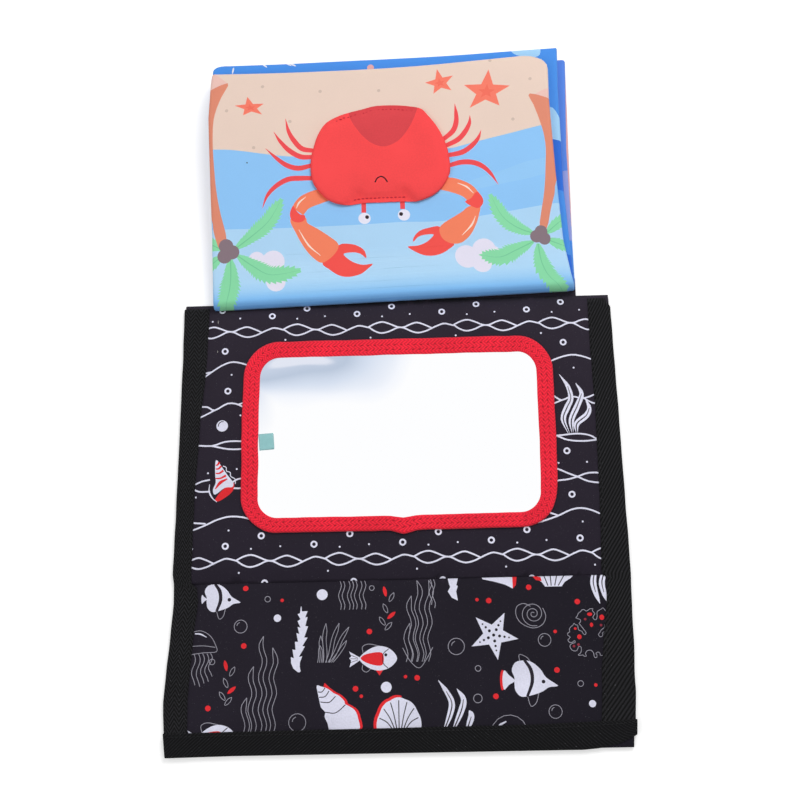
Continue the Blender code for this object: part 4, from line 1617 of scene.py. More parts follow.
# From the shell's tip down its left side and up its right one.
SPIRAL_CONCH = (
    (0, 0), (0.7, -4.7), (1.7, -9.4), (2.7, -13.1), (5.1, -15.9), (4.8, -18.7), (6.5, -22.4), (9.1, -27.2),
    (24.9, -27.2), (24.9, -19.6), (23, -15), (19.6, -12.6), (17.2, -11.2), (16.7, -9.4), (13.3, -6.1),
    (10.4, -4.7), (6.5, -1.9), (2.7, -0.5),
)


def spiral_conch(art):
    """A white pointed shell in growing whorls, shaded red on its right."""
    body = moved(SPIRAL_CONCH, -52.1, -181.8)
    art.blob([(x + 1.6, y + 0.4) for x, y in body[7:]], RED, 3)
    art.blob(body, WHITE, 3)
    for seam in (
        ((-51.2, -185.6), (-48.9, -185.6), (-47, -183.2)),
        ((-50.6, -188.8), (-47, -188.4), (-44.6, -185.1)),
        ((-49.9, -191.6), (-44.6, -191.9), (-40.7, -188.4)),
        ((-47, -197.7), (-40.7, -198.2), (-34.7, -193.5)),
    ):
        art.line(seam, 0.55, BLACK_INK)


def hanging_lines(art, x, y, lines, sway=0.9, bend=1.5):
    """Wavy thin lines that hang from a creature, which the seam may cut off."""
    for shift, length in lines:
        curve = [
            (x + shift + sway * math.sin(step * bend), y - length * step / 6) for step in range(7)
        ]
        thin_line(art, curve, 2)


def jellyfish(art, x, y):
    """A bell on its side in thin lines, with a white shine and tentacles under it."""
    bell = ((-4, 4.2), (2, 4.8), (7.6, 1.6), (10.8, -3.6), (11.6, -8), (4, -8.6), (-4, -9.4))
    thin_line(art, moved(bell, x, y))
    thin_line(art, moved(((-4, -4.4), (4, -4.4), (10.8, -5.4)), x, y))
    art.taper(moved(((-2, 3.2), (1.6, 2.8), (5.4, 0.8)), x, y), [0.7, 1, 0.4], WHITE)
    tentacles = ((-2.4, 19), (0.6, 20), (3.2, 18), (5.8, 17), (8, 14))
    hanging_lines(art, x, y - 9, tentacles, 1.2, 1.3)


# The coral's edge in three runs of knobs.
CORAL_LINES = (
    (
        (0, 0), (1, 1), (1.1, 2.1), (0, 2.7), (-1.7, 3.5), (-0.9, 4.3), (-0.3, 5.6), (0.3, 6.5),
        (1.4, 7.1), (2.2, 8.2), (3.8, 8.3), (5, 7.4), (7.3, 8.8), (9.2, 8.7), (8.7, 7.7), (10.1, 5.8),
        (9.6, 4.9), (8.8, 3.5), (9.5, 2.3), (10.5, 2), (11.3, 3.1), (11.5, 5.1), (11.8, 7.2), (14.4, 8.6),
        (15.5, 9.4), (16.8, 7.8), (17.9, 6.8),
    ),
    (
        (0, 0), (0.9, -1.1), (2.9, -3.8), (3.9, -5.2), (4, -6.3), (3.2, -6.9), (2.3, -6.3), (1.7, -5),
        (0.5, -4.4), (-0.4, -3.8), (-0.7, -2.2), (-0.9, -1.1), (-2.2, -0.8), (-2.9, 0.2), (-3.7, -1.1),
        (-5, -2), (-6, -3.4), (-5.9, -5), (-7.3, -6.1), (-6.9, -7.3), (-5.7, -8.4), (-7.2, -9.9),
        (-6.7, -11.1), (-5.6, -11.7), (-4.2, -11.2), (-3, -10.4), (-3, -11.7), (-4.4, -12), (-5.9, -13),
        (-6.2, -14.2), (-5.4, -15.8), (-4.2, -16.6), (-2.3, -16.6), (-1.4, -15.3), (-0.7, -14),
        (0.7, -14.6), (0.3, -17.8), (-1.4, -19), (-0.7, -19.5), (1.4, -19.3), (2.4, -20.1), (3.5, -20),
        (3.1, -18.5), (3.8, -17.1), (5.2, -16.4), (6.9, -16.7), (8, -18.1), (8.3, -20.1), (9, -21),
        (9.9, -20.6), (10.1, -19.2), (9.5, -18.5), (10.6, -17.6), (11.9, -18.1), (12.5, -19.7),
        (13.9, -19.5), (15.1, -20.8),
    ),
    (
        (15.9, -0.8), (15.6, -2.7), (13.7, -4.1), (12.5, -5.9), (11.7, -7), (12.5, -8.2), (13.7, -8.2),
        (14.5, -7), (14.3, -5.9), (15.8, -5.1),
    ),
)


def coral(art, x, y):
    """A round coral in one knobbly thin line, with red polyps in its arms."""
    for knobs in CORAL_LINES:
        thin_line(art, moved(knobs, x, y), 2)
    for x, y, across, along in (
        (116, -141.5, 1.6, 1.1), (123.5, -143.4, 1.6, 1.7), (116.8, -148, 1, 1.4), (109, -155.2, 1.4, 1.5),
        (106.7, -150.1, 0.9, 0.8),
    ):
        art.oval(x, y, across, along, RED, 0, 10)
    for x, y in ((113.1, -144.5), (122.8, -148.2), (108.2, -159.9), (105.4, -160.8)):
        art.disc(x, y, 0.85, DIM_RED, 8)


def sea_print():
    art = Print()
    for x, height, lean in ((-95.3, 18.7, 0), (-91.2, 37.3, 0), (-85, 55.5, 0), (-79.9, 48.5, 2)):
        outlined_frond(art, x, -209.5, height + 2.5, 2.8, 1.2, lean)
    for x, height, lean in ((4, 23.4, 0), (7.5, 40.3, -1.8), (10.9, 50, 0), (14.8, 50, 3.5)):
        outlined_frond(art, x, -168.5, height, 2.8, 1.2, lean)
    thin_line(art, ((0.6, -160), (5, -168), (10.4, -172.3), (15, -167), (19, -160)))
    for x, height, lean in (
        (-50.4, 10.3, 0.5), (-49.2, 16.3, 0), (-47.3, 23.8, 0.6), (-45.6, 23.8, 7), (-44.1, 21.3, 11.6),
        (-43.1, 13.1, 9.8),
    ):
        outlined_frond(art, x, -168, height, 2.2, 0.4, lean)
    hanging_lines(art, -30, -118, [(shift, 18) for shift in (-7.6, -5.4, -2.2, 0, 2.2, 5.2, 7.6)])
    hanging_lines(art, 33, -118, ((-14.6, 16), (-12.6, 18)))
    jellyfish(art, -125, -152.2)
    coral(art, 109.1, -147)
    for x, y in ((-107.6, -168.8), (-9.8, -125.2)):
        sprig(art, x, y)
    serrated_weed(art)
    butterfly_fish(art, -113.2, -127.4, 0.78, 2, False, 0.6)
    butterfly_fish(art, 76.8, -180, 0.98, 0, True)
    striped_fish(art, -112.6, -211.6)
    striped_fish(art, -14.6, -166.2)
    starfish(art, 56.5, -153.2, 15.3, -10)
    sea_snail(art, 81.3, -140.6, 9.2)
    spiral_conch(art)
    shell_at_seam(art)
    sea_shell(art, -2.4, -207.2, 13.2, 17)
    veined_weed(art, (
        ((24.6, -210), (28.6, -200), (29.7, -193.3), (26.6, -186.6), (21.9, -179.9)),
        ((30, -210), (35.4, -198.1), (36.9, -191.4), (33, -185.2)),
        ((38.4, -210), (41.3, -201.9), (40.1, -198.1)),
        ((121.8, -112), (119.4, -121), (120.4, -128), (122.8, -135)),
        ((128.4, -112), (124.8, -121), (125.6, -128), (127.6, -134)),
    ))
    dots(art, [
        (-96, -121.7), (-96.7, -157.1), (-118, -194.2), (-19.7, -149.7), (-28.5, -184.1), (54.2, -132),
        (79.2, -124.2), (108.8, -133.6), (94.3, -175), (56.6, -190.1), (9.1, -178.2),
    ], 1.75, RED)
    dots(art, [
        (-73.3, -129.6), (2, -177.4), (-25, -188.6), (47, -131.3), (94.3, -151.7), (117.5, -184.4),
    ], 1.1, RED)
    for x, y, radius in (
        (-48.6, -126.5, 3.4), (-76.2, -140.5, 2.3), (-9.8, -183.5, 3.3), (114.9, -195.5, 2.2),
    ):
        art.disc(x, y, radius, WHITE, 18)
    for x, y, radius in (
        (-82.3, -128.7, 1.9), (-98.8, -145.2, 4.2), (-116, -166.4, 1.9), (-17.9, -122.9, 1.7),
        (-63.9, -203.5, 5.4), (33.4, -159.7, 5.2), (87.6, -156.7, 4.1), (46.3, -173.2, 1.9),
        (45.6, -191.2, 2.8), (108.3, -183.4, 1.9), (92.3, -199.8, 4.2), (64.1, -212.6, 11.5),
    ):
        bubble(art, x, y, radius)
    return art

# The top leaf's print: a beach with palms, and the legs and claws of the sewn-on crab

SAND = linear(237, 212, 197)
SAND_PINK = linear(240, 198, 188)
SAND_SPECK = linear(214, 190, 176)
SEA = linear(145, 201, 251)
# A painted highlight on the sea, where light catches soft ripples of the cloth.
SEA_PAINTED_HIGHLIGHT = linear(151, 205, 251)
SKY = linear(178, 219, 251)
# Painted shade: the sky darkens in bands towards the seam where the leaf rolls down. Just above that it is
# painted a little lighter, against the shade of the slope.
SKY_PAINTED_SHADE_AND_LIFT = (
    (0, linear(106, 174, 243)), (1, linear(118, 182, 245)), (4, linear(134, 196, 250)),
    (9, linear(164, 214, 254)), (15, linear(181, 223, 255)), (25, linear(184, 223, 253)),
    (34, SKY),
)
STAR_CORAL = linear(250, 126, 104)
STAR_DARK = linear(246, 112, 92)
CRAB_RED = linear(243, 76, 82)
CRAB_BODY = linear(254, 80, 82)
CRAB_PATCH = linear(222, 74, 80)
CRAB_ORANGE = linear(250, 132, 96)
CLAW_RED = linear(249, 82, 76)
SHINE = linear(255, 228, 214)
EYE_WHITE = linear(238, 236, 252)
DARK = linear(40, 26, 34)
TRUNK = linear(228, 141, 114)
TRUNK_DARK = linear(216, 128, 104)
COCONUT = linear(136, 117, 126)
PALM_GREEN = linear(140, 224, 172)
PALM_VEIN = linear(118, 206, 156)
CLOUD = linear(235, 231, 249)


def sky_with_painted_shade(u, v):
    """The sky, with painted shade towards the sewn edge where the leaf rolls down, and a painted lift
    above it.
    """
    stops_at, colours = zip(*SKY_PAINTED_SHADE_AND_LIFT)
    return tuple(float(np.interp(v, stops_at, shade)) for shade in zip(*colours))


def palm_leaf(art, curve, width):
    """A fringed palm leaf along its vein, from the stem to its tip."""
    vein = resample(smooth_curve(curve, False, 6), 1.9, False)
    across = side_vectors(vein)
    t = np.linspace(0, 1, len(vein))
    half = width / 2 * np.interp(t, (0, 0.12, 0.45, 0.78, 0.93, 1), (0.2, 0.55, 1, 0.9, 0.5, 0))
    edges = []
    for side in (1, -1):
        edge = []
        for index, spot in enumerate(vein):
            fringe, ahead = (1, 1.3) if index % 2 else (0.72, 0)
            ahead *= vein[index] - vein[max(index - 1, 0)]
            edge.append(spot + side * across[index] * half[index] * fringe + ahead)
        edges.append(np.array(edge))
    art.fill(np.concatenate([edges[0], edges[1][::-1]]), PALM_GREEN)
    art.taper(curve, [0.8, 0.5, 0.1], PALM_VEIN)


def palm(art, trunk, nuts, radius, leaves):
    """A palm whose leaves are each a vein and a width. Radius is the size of its nuts."""
    for curve, width in leaves:
        palm_leaf(art, curve, width)
    art.fill(trunk, TRUNK)
    for x, y in nuts:
        art.disc(x, y, radius, COCONUT, 18)


def five_point_star(art, middle, tips):
    middle, tips = np.array(middle), np.array(tips)
    points = []
    for tip, following in zip(tips, np.roll(tips, -1, axis=0)):
        points += [tip, middle + ((tip + following) / 2 - middle) * 0.52]
    art.fill(points, STAR_CORAL)
    art.fill([middle + (point - middle) * 0.36 for point in points], STAR_DARK)


def cloud(art, puffs):
    for x, y, radius in puffs:
        art.disc(x, y, radius, CLOUD, 20)


CRAB_LEGS = (
    ((-46, 105), (-54.2, 106.8), (-59.6, 113.1), (-63, 120.2), (-64.6, 129.2)),
    ((-47, 100.5), (-55.3, 101), (-63, 105.8), (-68.8, 112.5), (-73.1, 119.8)),
    ((-48, 94.5), (-57.4, 92.8), (-65.2, 95.3), (-71.9, 100.6), (-79.2, 108)),
    ((-47, 85.3), (-56, 85.6), (-64.7, 85.2), (-73.4, 80.6), (-79.6, 74), (-83, 65.8)),
    ((42, 107), (49.7, 113), (52.6, 119.5), (53, 126.4), (52.5, 133)),
    ((43, 102.4), (52.8, 106.6), (58.4, 112.2), (61.7, 118.1), (62.4, 123.6)),
    ((44, 95.8), (54.7, 97.2), (62, 101.4), (66.8, 106.5), (69.4, 112.4)),
    ((45, 88.4), (54.2, 90.2), (62.6, 89.2), (69.4, 85.3), (74.2, 79.5), (77.9, 72.4)),
)

# Each arm: its elbow, upper arm, forearm and claw, and the shines on it.
CRAB_CLAWS = (
    (
        (
            (-64.6, 61.4), (-62.2, 66.2), (-60.2, 62.8), (-57.8, 60.3), (-54.6, 59.1), (-55.3, 55.8),
            (-59.6, 54.6), (-63.8, 56.6),
        ),
        ((-36, 74), (-46, 71.6), (-54.4, 68.2), (-59.4, 62.4)),
        (
            (-64.6, 57.2), (-61, 46.6), (-55.6, 36.1), (-49.5, 28.7), (-44.8, 26), (-38.6, 29.2),
            (-34, 34.2), (-33.4, 38.6), (-38.4, 43.4), (-46.5, 49.4), (-53.2, 53.9), (-54.6, 57.8),
        ),
        (
            (-44.6, 26.6), (-40.4, 21.1), (-34.4, 16.6), (-27.8, 15.2), (-20, 16.7), (-14.6, 20.3),
            (-11.4, 23.2), (-17.7, 22.9), (-23.5, 24.8), (-28.2, 28.4), (-29.9, 31.3), (-23.6, 31.9),
            (-18.6, 30.5), (-15.2, 27.3), (-15.8, 32.3), (-20, 36.1), (-26, 37.9), (-33.4, 37.2),
        ),
        (((-60.1, 64.4), (-58, 68.4), (-53.2, 72.2)), ((-59.3, 49.6), (-53.3, 38.7), (-45.5, 31))),
    ),
    (
        (
            (54.4, 62.4), (58.5, 64.2), (62.6, 68.4), (65.4, 65.8), (66.7, 62.2), (65.6, 58.9), (62.6, 57),
            (59.1, 58.3), (56.1, 60.2),
        ),
        ((38, 76.6), (48, 74), (56.2, 69.8), (60.8, 64.2)),
        (
            (56.6, 58.6), (51.1, 55), (42.1, 50.3), (37, 47.1), (35.2, 43.7), (36.5, 38.6), (40, 35.2),
            (45.1, 33.6), (50.6, 34.7), (56.2, 39.4), (60.5, 46.4), (63.1, 53.3), (64, 58.6),
        ),
        (
            (36.8, 45.6), (28.9, 45.9), (21.7, 43.9), (17.6, 39.7), (17.3, 36.8), (20.8, 40), (25.8, 41.2),
            (31.2, 40.8), (26.4, 36.3), (20.2, 34), (13.3, 33.7), (17.3, 30.3), (22.9, 27.3), (28.7, 26.4),
            (34.8, 27.4), (41, 30.5), (44.6, 34.7),
        ),
        (((50.4, 75.6), (56.4, 72.4), (60.6, 67.6)), ((60.4, 51.7), (57.2, 45.7), (50.2, 39.1))),
    ),
)


def crab_limbs(art):
    for leg in CRAB_LEGS:
        art.taper(leg, [3, 3.7, 3.5, 2.5, 0.2], CRAB_RED)
    for elbow, upper, forearm, claw, shines in CRAB_CLAWS:
        art.taper(upper, [9, 10.4, 10.2, 9.4], CRAB_ORANGE)
        art.blob(claw, CLAW_RED, 3)
        art.blob(forearm, CRAB_ORANGE)
        art.blob(elbow, CLAW_RED)
        for shine in shines:
            art.taper(shine, [0.3, 1.2, 0.3], SHINE)
    for stalk, eye, pupil in (
        (((-14.2, 68), (-14.7, 59)), (-14.5, 55), (-12.7, 55.8)),
        (((12.1, 68), (11.7, 60)), (12.3, 55.8), (10.4, 56.6)),
    ):
        art.line(stalk, 3.2, CRAB_RED)
        art.oval(*eye, 4.15, 3.95, EYE_WHITE, 0, 20)
        art.disc(*pupil, 1.35, DARK, 12)


def beach_print():
    art = Print()
    far = leaf_length + 6
    horizon = smooth_curve((
        (-124, 108.6), (-106.6, 108.2), (-93.5, 106.5), (-80.5, 104.2), (-63.1, 101.6), (-30, 100),
        (10, 99.6), (45.7, 100.9), (54.1, 102), (67.5, 104.6), (85.3, 107.6), (109, 111.6), (124, 113.4),
    ))
    shore = smooth_curve((
        (-124, 52.6), (-74.3, 51.3), (-20, 50.8), (9.2, 51), (36.8, 49.8), (62.9, 51.5), (83.9, 53.5),
        (108, 56.1), (124, 57),
    ))
    art.fill(np.concatenate([shore, horizon[::-1]]), SEA)
    # A painted highlight: a lighter band where light catches soft ripples of the cloth in the sea.
    swell = ((20, 68), (50, 71.6), (84, 78), (104, 82), (124, 84.6))
    art.taper(swell, [0.5, 7, 12, 10], SEA_PAINTED_HIGHLIGHT)
    art.fill(np.concatenate([horizon, [(124, far), (-124, far)]]), SAND)
    art.fill(((-124, far), (-106.2, 157.3), (-117.3, 150.8), (-124, 149)), SAND_PINK)
    art.fill(((124, 140), (112, 136.5), (104.6, 132.6), (118, 127.7), (124, 126)), SAND_PINK)
    # Painted shade in bands 1 mm wide over the sky near the seam, where the leaf rolls down to it.
    for v in range(-1, 34):
        art.fill(((-124, v), (124, v), (124, v + 1), (-124, v + 1)), sky_with_painted_shade(0, v + 0.5))
    dots(art, [
        (-81.5, 153.9), (-41.2, 148.8), (-0.4, 147.2), (-105.5, 136.6), (-87.3, 108.9), (-61.6, 127),
        (77.4, 162.9), (105.1, 146.2), (91.8, 118.1),
    ], 1.2, SAND_SPECK)
    art.disc(-92.2, 98.3, 0.5, DARK, 8)
    for middle, *tips in (
        ((-89.1, 138.2), (-91.7, 146.6), (-80, 141), (-80.6, 132.9), (-93.9, 132.9), (-100.2, 140.3)),
        ((42.3, 149.2), (40.1, 160.4), (51.3, 154.2), (50.3, 143.2), (37.7, 141.7), (31.8, 150.6)),
        ((74.6, 139.6), (76.3, 156.2), (91, 142.6), (83.4, 128.7), (62.7, 129), (59, 146.4)),
    ):
        five_point_star(art, middle, tips)
    cloud(art, ((-88.2, 30.4, 5.4), (-77.2, 28.5, 7.6), (-76.3, 14.4, 6.4), (-83, 22, 6)))
    cloud(art, ((51.6, 24.4, 7.8), (63.9, 28, 8), (60.8, 19.6, 6.6), (70, 26, 4.4)))
    palm(
        art,
        smooth_curve((
            (-124, 149), (-106, 157.3), (-109.6, 147), (-112.6, 138), (-114.8, 125), (-115.2, 107.6),
            (-114.4, 87.5), (-113.4, 75.5), (-111.6, 63.3), (-108, 44), (-112.6, 38), (-116.6, 50),
            (-118, 60), (-126, 74),
        ), False, 3),
        ((-108.6, 40.6), (-104.6, 36.2), (-109.6, 33.6)),
        4.9,
        (
            (((-103, 38), (-89.9, 47.6), (-79.1, 56.9), (-69.7, 71.4)), 13),
            (((-101.4, 34), (-90.5, 25.7), (-79, 19.4), (-59.6, 21.6)), 14),
            (((-105.7, 32), (-106.1, 16.1), (-108.9, 3.3), (-112.8, -6)), 15),
            (((-111, 38), (-118, 42), (-124, 46)), 10), (((-111, 34), (-118, 29), (-124, 26)), 10),
        ),
    )
    palm(
        art,
        smooth_curve((
            (124, 128), (104.6, 135.4), (106.7, 127.3), (109.6, 117.1), (111.9, 106.3), (112.5, 95.4),
            (111.3, 83.3), (110.1, 73.6), (107.7, 61.7), (105.5, 53.4), (102.8, 41), (107.5, 40),
            (111.8, 53.4), (115.3, 63), (117.2, 71), (126, 88),
        ), False, 3),
        ((103.4, 38), (100, 35), (105, 33.2)),
        4.3,
        (
            (((98.6, 37), (87.9, 41.8), (78.4, 50.4), (71.6, 65.8)), 12),
            (((97.6, 31.6), (84.1, 26.3), (73.2, 22.6), (60.8, 24.8)), 13),
            (((100.4, 30), (100.1, 17.4), (103.6, 6.8), (113.4, -3)), 14),
            (((106, 36), (114, 42), (123, 48)), 9), (((106, 33), (114, 29), (124, 25)), 9),
        ),
    )
    crab_limbs(art)
    return art


# The other pages' prints, seen at the edges of the stack and when the book is turned

SEA_BLUE = linear(72, 147, 236)
DEEP_BLUE = linear(44, 112, 222)
PALE_BLUE = linear(166, 214, 250)
LILAC = linear(150, 162, 228)
THIRD_BLUE = linear(88, 138, 232)
PINK = linear(240, 178, 176)
LEAF_GREEN = linear(122, 205, 160)
YELLOW = linear(250, 214, 122)
PAGE_WHITE = linear(240, 240, 248)


def little_fish(art, x, y, size, turn, ink, belly):
    def at(*points):
        return moved(points, x, y, size, turn)

    art.fill(at((-0.75, 0), (-1.45, 0.55), (-1.3, 0), (-1.45, -0.55)), belly)
    art.oval(x, y, size, size * 0.56, ink, turn, 20)
    art.line(at((0.35, 0.42), (0.2, 0), (0.35, -0.42)), size * 0.07, belly)
    art.disc(*at((0.6, 0.12))[0], size * 0.09, DARK, 8)


def reef_page():
    """Fish over a pale wave and weed, for the leaf under the top one."""
    art = Print()
    art.blob((
        (104, 112), (112, 122), (118, 114), (121, 106), (124, 96), (112, 94), (106, 102),
    ), PALE_BLUE)
    art.blob(((106, 98), (114, 99), (124, 92), (124, 66), (112, 66), (108, 80)), DEEP_BLUE)
    art.fill(((-124, -2), (124, -2), (124, 20), (60, 30), (0, 18), (-60, 30), (-124, 20)), DEEP_BLUE)
    for x, y, size, turn, ink in (
        (-58, 116, 17, 12, YELLOW), (22, 128, 13, -10, STAR_CORAL), (52, 84, 19, 6, YELLOW),
        (-26, 74, 12, -6, STAR_CORAL),
    ):
        little_fish(art, x, y, size, turn, ink, CRAB_ORANGE)
    for x, height in ((-96, 52), (-82, 66), (-70, 42), (72, 40), (84, 58)):
        frond = ((x, -3), (x + 4, height * 0.35), (x - 3, height * 0.7), (x + 2, height))
        art.taper(frond, [5, 6, 4.4, 0.4], LEAF_GREEN)
    for x, y, radius in ((-20, 140, 3.4), (-10, 148, 2.2), (84, 142, 3), (92, 132, 2), (8, 100, 2.6)):
        art.ring(x, y, radius, PALE_BLUE, 0.7)
    for x, y, turn in (
        (-104, 160.5, 80), (-82.5, 163.6, -40), (-66, 163.8, -30), (-63, 163.2, -30), (102, 104, 60),
    ):
        art.oval(x, y, 2.4, 0.6, PAGE_WHITE, turn, 8)
    art.disc(-10, 158.2, 2.4, PINK, 12)
    art.blob(((86, 170), (88, 162), (98, 158.5), (106, 160), (104, 170)), PALE_BLUE)
    return art


def turtle_page():
    """A turtle swimming among bubbles."""
    art = Print()
    art.fill(((-124, -2), (124, -2), (124, 34), (40, 22), (-40, 34), (-124, 24)), SEA_BLUE)
    for turn, reach in ((38, 38), (142, 38), (-38, 33), (-142, 33)):
        a = math.radians(turn)
        art.oval(reach * math.cos(a), 88 + reach * 0.8 * math.sin(a), 17, 7, LEAF_GREEN, turn, 20)
    art.oval(46, 88, 12, 9, LEAF_GREEN, 0, 24)
    art.oval(0, 88, 36, 27, TRUNK_DARK, 0, 32)
    art.oval(0, 88, 31, 22, TRUNK, 0, 32)
    for x, y in ((0, 88), (-16, 96), (-16, 79), (16, 96), (16, 79)):
        art.oval(x, y, 6.4, 5.4, TRUNK_DARK, 0, 6)
    for y in (91, 85):
        art.disc(50, y, 1.2, DARK, 10)
    for x, y, radius in (
        (-86, 120, 6), (-78, 134, 4), (88, 128, 5), (78, 142, 3.4), (-92, 60, 4.6), (92, 62, 6),
    ):
        art.ring(x, y, radius, PAGE_WHITE, 0.9)
    return art


def lilac_wave_page():
    """The turtle over a lilac wave, for the third leaf."""
    art = Print()
    art.fill(((-124, -2), (124, -2), (124, 84), (60, 70), (0, 80), (-60, 70), (-124, 84)), LILAC)
    art.shapes += turtle_page().shapes
    return art


def whale_page():
    """A whale with its spout over two rows of waves."""
    art = Print()
    art.fill((
        (-124, -2), (124, -2), (124, 46), (80, 40), (40, 48), (0, 40), (-40, 48), (-80, 40), (-124, 46),
    ), SEA_BLUE)
    art.blob((
        (-48, 60), (-56, 84), (-34, 104), (8, 106), (40, 86), (58, 70), (44, 58), (0, 50),
    ), DEEP_BLUE)
    art.blob(((50, 72), (66, 92), (84, 100), (74, 78), (90, 66), (64, 62)), DEEP_BLUE)
    art.blob(((-50, 66), (-20, 70), (24, 62), (38, 58), (0, 51), (-40, 58)), PALE_BLUE)
    art.disc(-36, 82, 1.8, PAGE_WHITE, 12)
    for side in (-1, 1):
        spout = ((-16, 106), (-16, 122), (-16 + side * 12, 130), (-16 + side * 17, 122))
        art.taper(spout, [3, 3, 3, 0.6], PALE_BLUE)
    art.fill((
        (-124, -2), (124, -2), (124, 26), (90, 32), (50, 24), (10, 32), (-30, 24), (-70, 32), (-124, 26),
    ), PALE_BLUE)
    return art


def shell_page(first, second):
    """Shells, stars and dots, scattered, for the pages that the book keeps closed."""
    art = Print()
    for row in range(5):
        for column in range(6):
            x, y = -95 + column * 38 + (row % 2) * 14 - 7, 18 + row * 33
            kind = (row * 2 + column) % 3
            if kind == 0:
                turns = np.radians(np.arange(0, 360, 72) + 18 + row * 10)
                tips = [(x + 9 * math.cos(a), y + 9 * math.sin(a)) for a in turns]
                art.star(x, y, tips, 3.8, first)
            elif kind == 1:
                little_fish(art, x, y, 8, 14 - row * 8, second, first)
            else:
                art.disc(x, y, 4.6, PAGE_WHITE, 18)
                art.disc(x + 1.4, y + 1.2, 1.2, first, 10)
            art.disc(x + 17, y + 12, 1.6, PAGE_WHITE, 10)
    return art


# The padded crab on the top leaf, swelled by a cloth simulation and sewn at two of its edges

CRAB_EDGE = (
    (-46.4, 105.7), (-42.7, 115.8), (-36.5, 124.3), (-26.5, 129.7), (-11.8, 133.2), (-1.5, 135.2),
    (14.6, 134.4), (27.6, 131.2), (33, 125.9), (40.4, 114.2), (44.8, 101.8), (46.1, 92), (45.2, 81.2),
    (36.5, 69.6), (23.4, 64.2), (14, 64.8), (-1.5, 65.2), (-14.8, 65.4), (-24.6, 64.3), (-31.7, 65.3),
    (-38.2, 68.5), (-44, 74.7), (-47.9, 81.7), (-48.9, 89.4), (-48.3, 98.7),
)
CRAB_MIDDLE_V = 100.0
CRAB_SEAMS = ((-30.5, 21.5), (-21.5, 15.5))
CRAB_SEAM_INSET = 3.2
CRAB_SEAM_FADE = 7.0
CRAB_FULL_HEIGHT = 4.4
CRAB_LOOSE_RIM = 1.6
CRAB_SEWN_RIM = 0.7
CRAB_ROUNDING = 3.5
CRAB_SEWN_ROUNDING = 12.0
CRAB_DENTS = ((-17, 71), (12.4, 71))
CRAB_DENT_SIZE = (3.2, 2.6)
CRAB_DENT_DEPTH = 1.8
CRAB_GATHERS = 1.1
CRAB_SWELLS = 0.22
CRAB_GROOVE = 0.35
CRAB_THINNEST = 0.6
CRAB_UNDER = 0.35
CRAB_RIM_ROWS = (0.5, 1.2, 2.2)
PAD_START_INSET = 3.0
PAD_START_HALF = 2.6
PAD_VOXEL = 4.0
PAD_CLOTH = {
    "quality": 6, "mass": 0.2, "tension_stiffness": 12, "compression_stiffness": 12,
    "bending_stiffness": 0.4, "use_pressure": True, "uniform_pressure_force": 4,
    "vertex_group_mass": "sewn",
}
PAD_CAP = 7.0
PAD_FRAMES = 20

crab_edge = smooth_curve(CRAB_EDGE, True, 4)


def crab_rim(u, v):
    """The distance in from the crab's edge, and how far the edge nearest to it is sewn down."""
    ends = np.roll(crab_edge, -1, axis=0)
    along = ends - crab_edge
    reached = (u - crab_edge[:, 0]) * along[:, 0] + (v - crab_edge[:, 1]) * along[:, 1]
    share = np.clip(reached / (along ** 2).sum(1), 0, 1)
    nearest = crab_edge + along * share[:, None]
    distance = np.hypot(nearest[:, 0] - u, nearest[:, 1] - v)
    index = int(distance.argmin())
    edge_u, edge_v = nearest[index]
    low, high = CRAB_SEAMS[0] if edge_v > CRAB_MIDDLE_V else CRAB_SEAMS[1]
    beyond = max(low - edge_u, edge_u - high, 0)
    return float(distance[index]), 1.0 - min(beyond / CRAB_SEAM_FADE, 1)


def swelled_pad():
    """A flat closed pad in the crab's outline, a little smaller, blown up by its filling."""
    pad = bmesh.new()
    middle = crab_edge.mean(0)
    inner = middle + (crab_edge - middle) * (1 - PAD_START_INSET / 42)
    verts = [pad.verts.new((u * MM, v * MM, -PAD_START_HALF * MM)) for u, v in inner]
    face = pad.faces.new(verts)
    lifted = bmesh.ops.extrude_face_region(pad, geom=[face])
    tops = [item for item in lifted["geom"] if isinstance(item, bmesh.types.BMVert)]
    bmesh.ops.translate(pad, verts=tops, vec=(0, 0, 2 * PAD_START_HALF * MM))
    bmesh.ops.recalc_face_normals(pad, faces=pad.faces)
    piece = add_object("pad", finished_mesh("pad", pad))
    remesh = piece.modifiers.new("voxels", "REMESH")
    remesh.mode = "VOXEL"
    remesh.voxel_size = PAD_VOXEL * MM
    graph = bpy.context.evaluated_depsgraph_get()
    piece.data = bpy.data.meshes.new_from_object(piece.evaluated_get(graph))
    piece.modifiers.clear()
    start = np.array([tuple(vert.co) for vert in piece.data.vertices])
    pins = piece.vertex_groups.new(name="sewn")
    for index, (x, y, z) in enumerate(start):
        inset, sewn = crab_rim(x / MM, y / MM)
        if sewn > 0.5 and inset < CRAB_SEAM_INSET + PAD_VOXEL:
            pins.add([index], 1, "REPLACE")
    cloth = piece.modifiers.new("filling", "CLOTH")
    for label, value in PAD_CLOTH.items():
        setattr(cloth.settings, label, value)
    cloth.settings.effector_weights.gravity = 0
    for number in range(1, PAD_FRAMES + 1):
        bpy.context.scene.frame_set(number)
    graph = bpy.context.evaluated_depsgraph_get()
    swelled = bpy.data.meshes.new_from_object(piece.evaluated_get(graph))
    ends = np.array([tuple(vert.co) for vert in swelled.vertices])
    bpy.context.scene.frame_set(1)
    return piece, start, ends


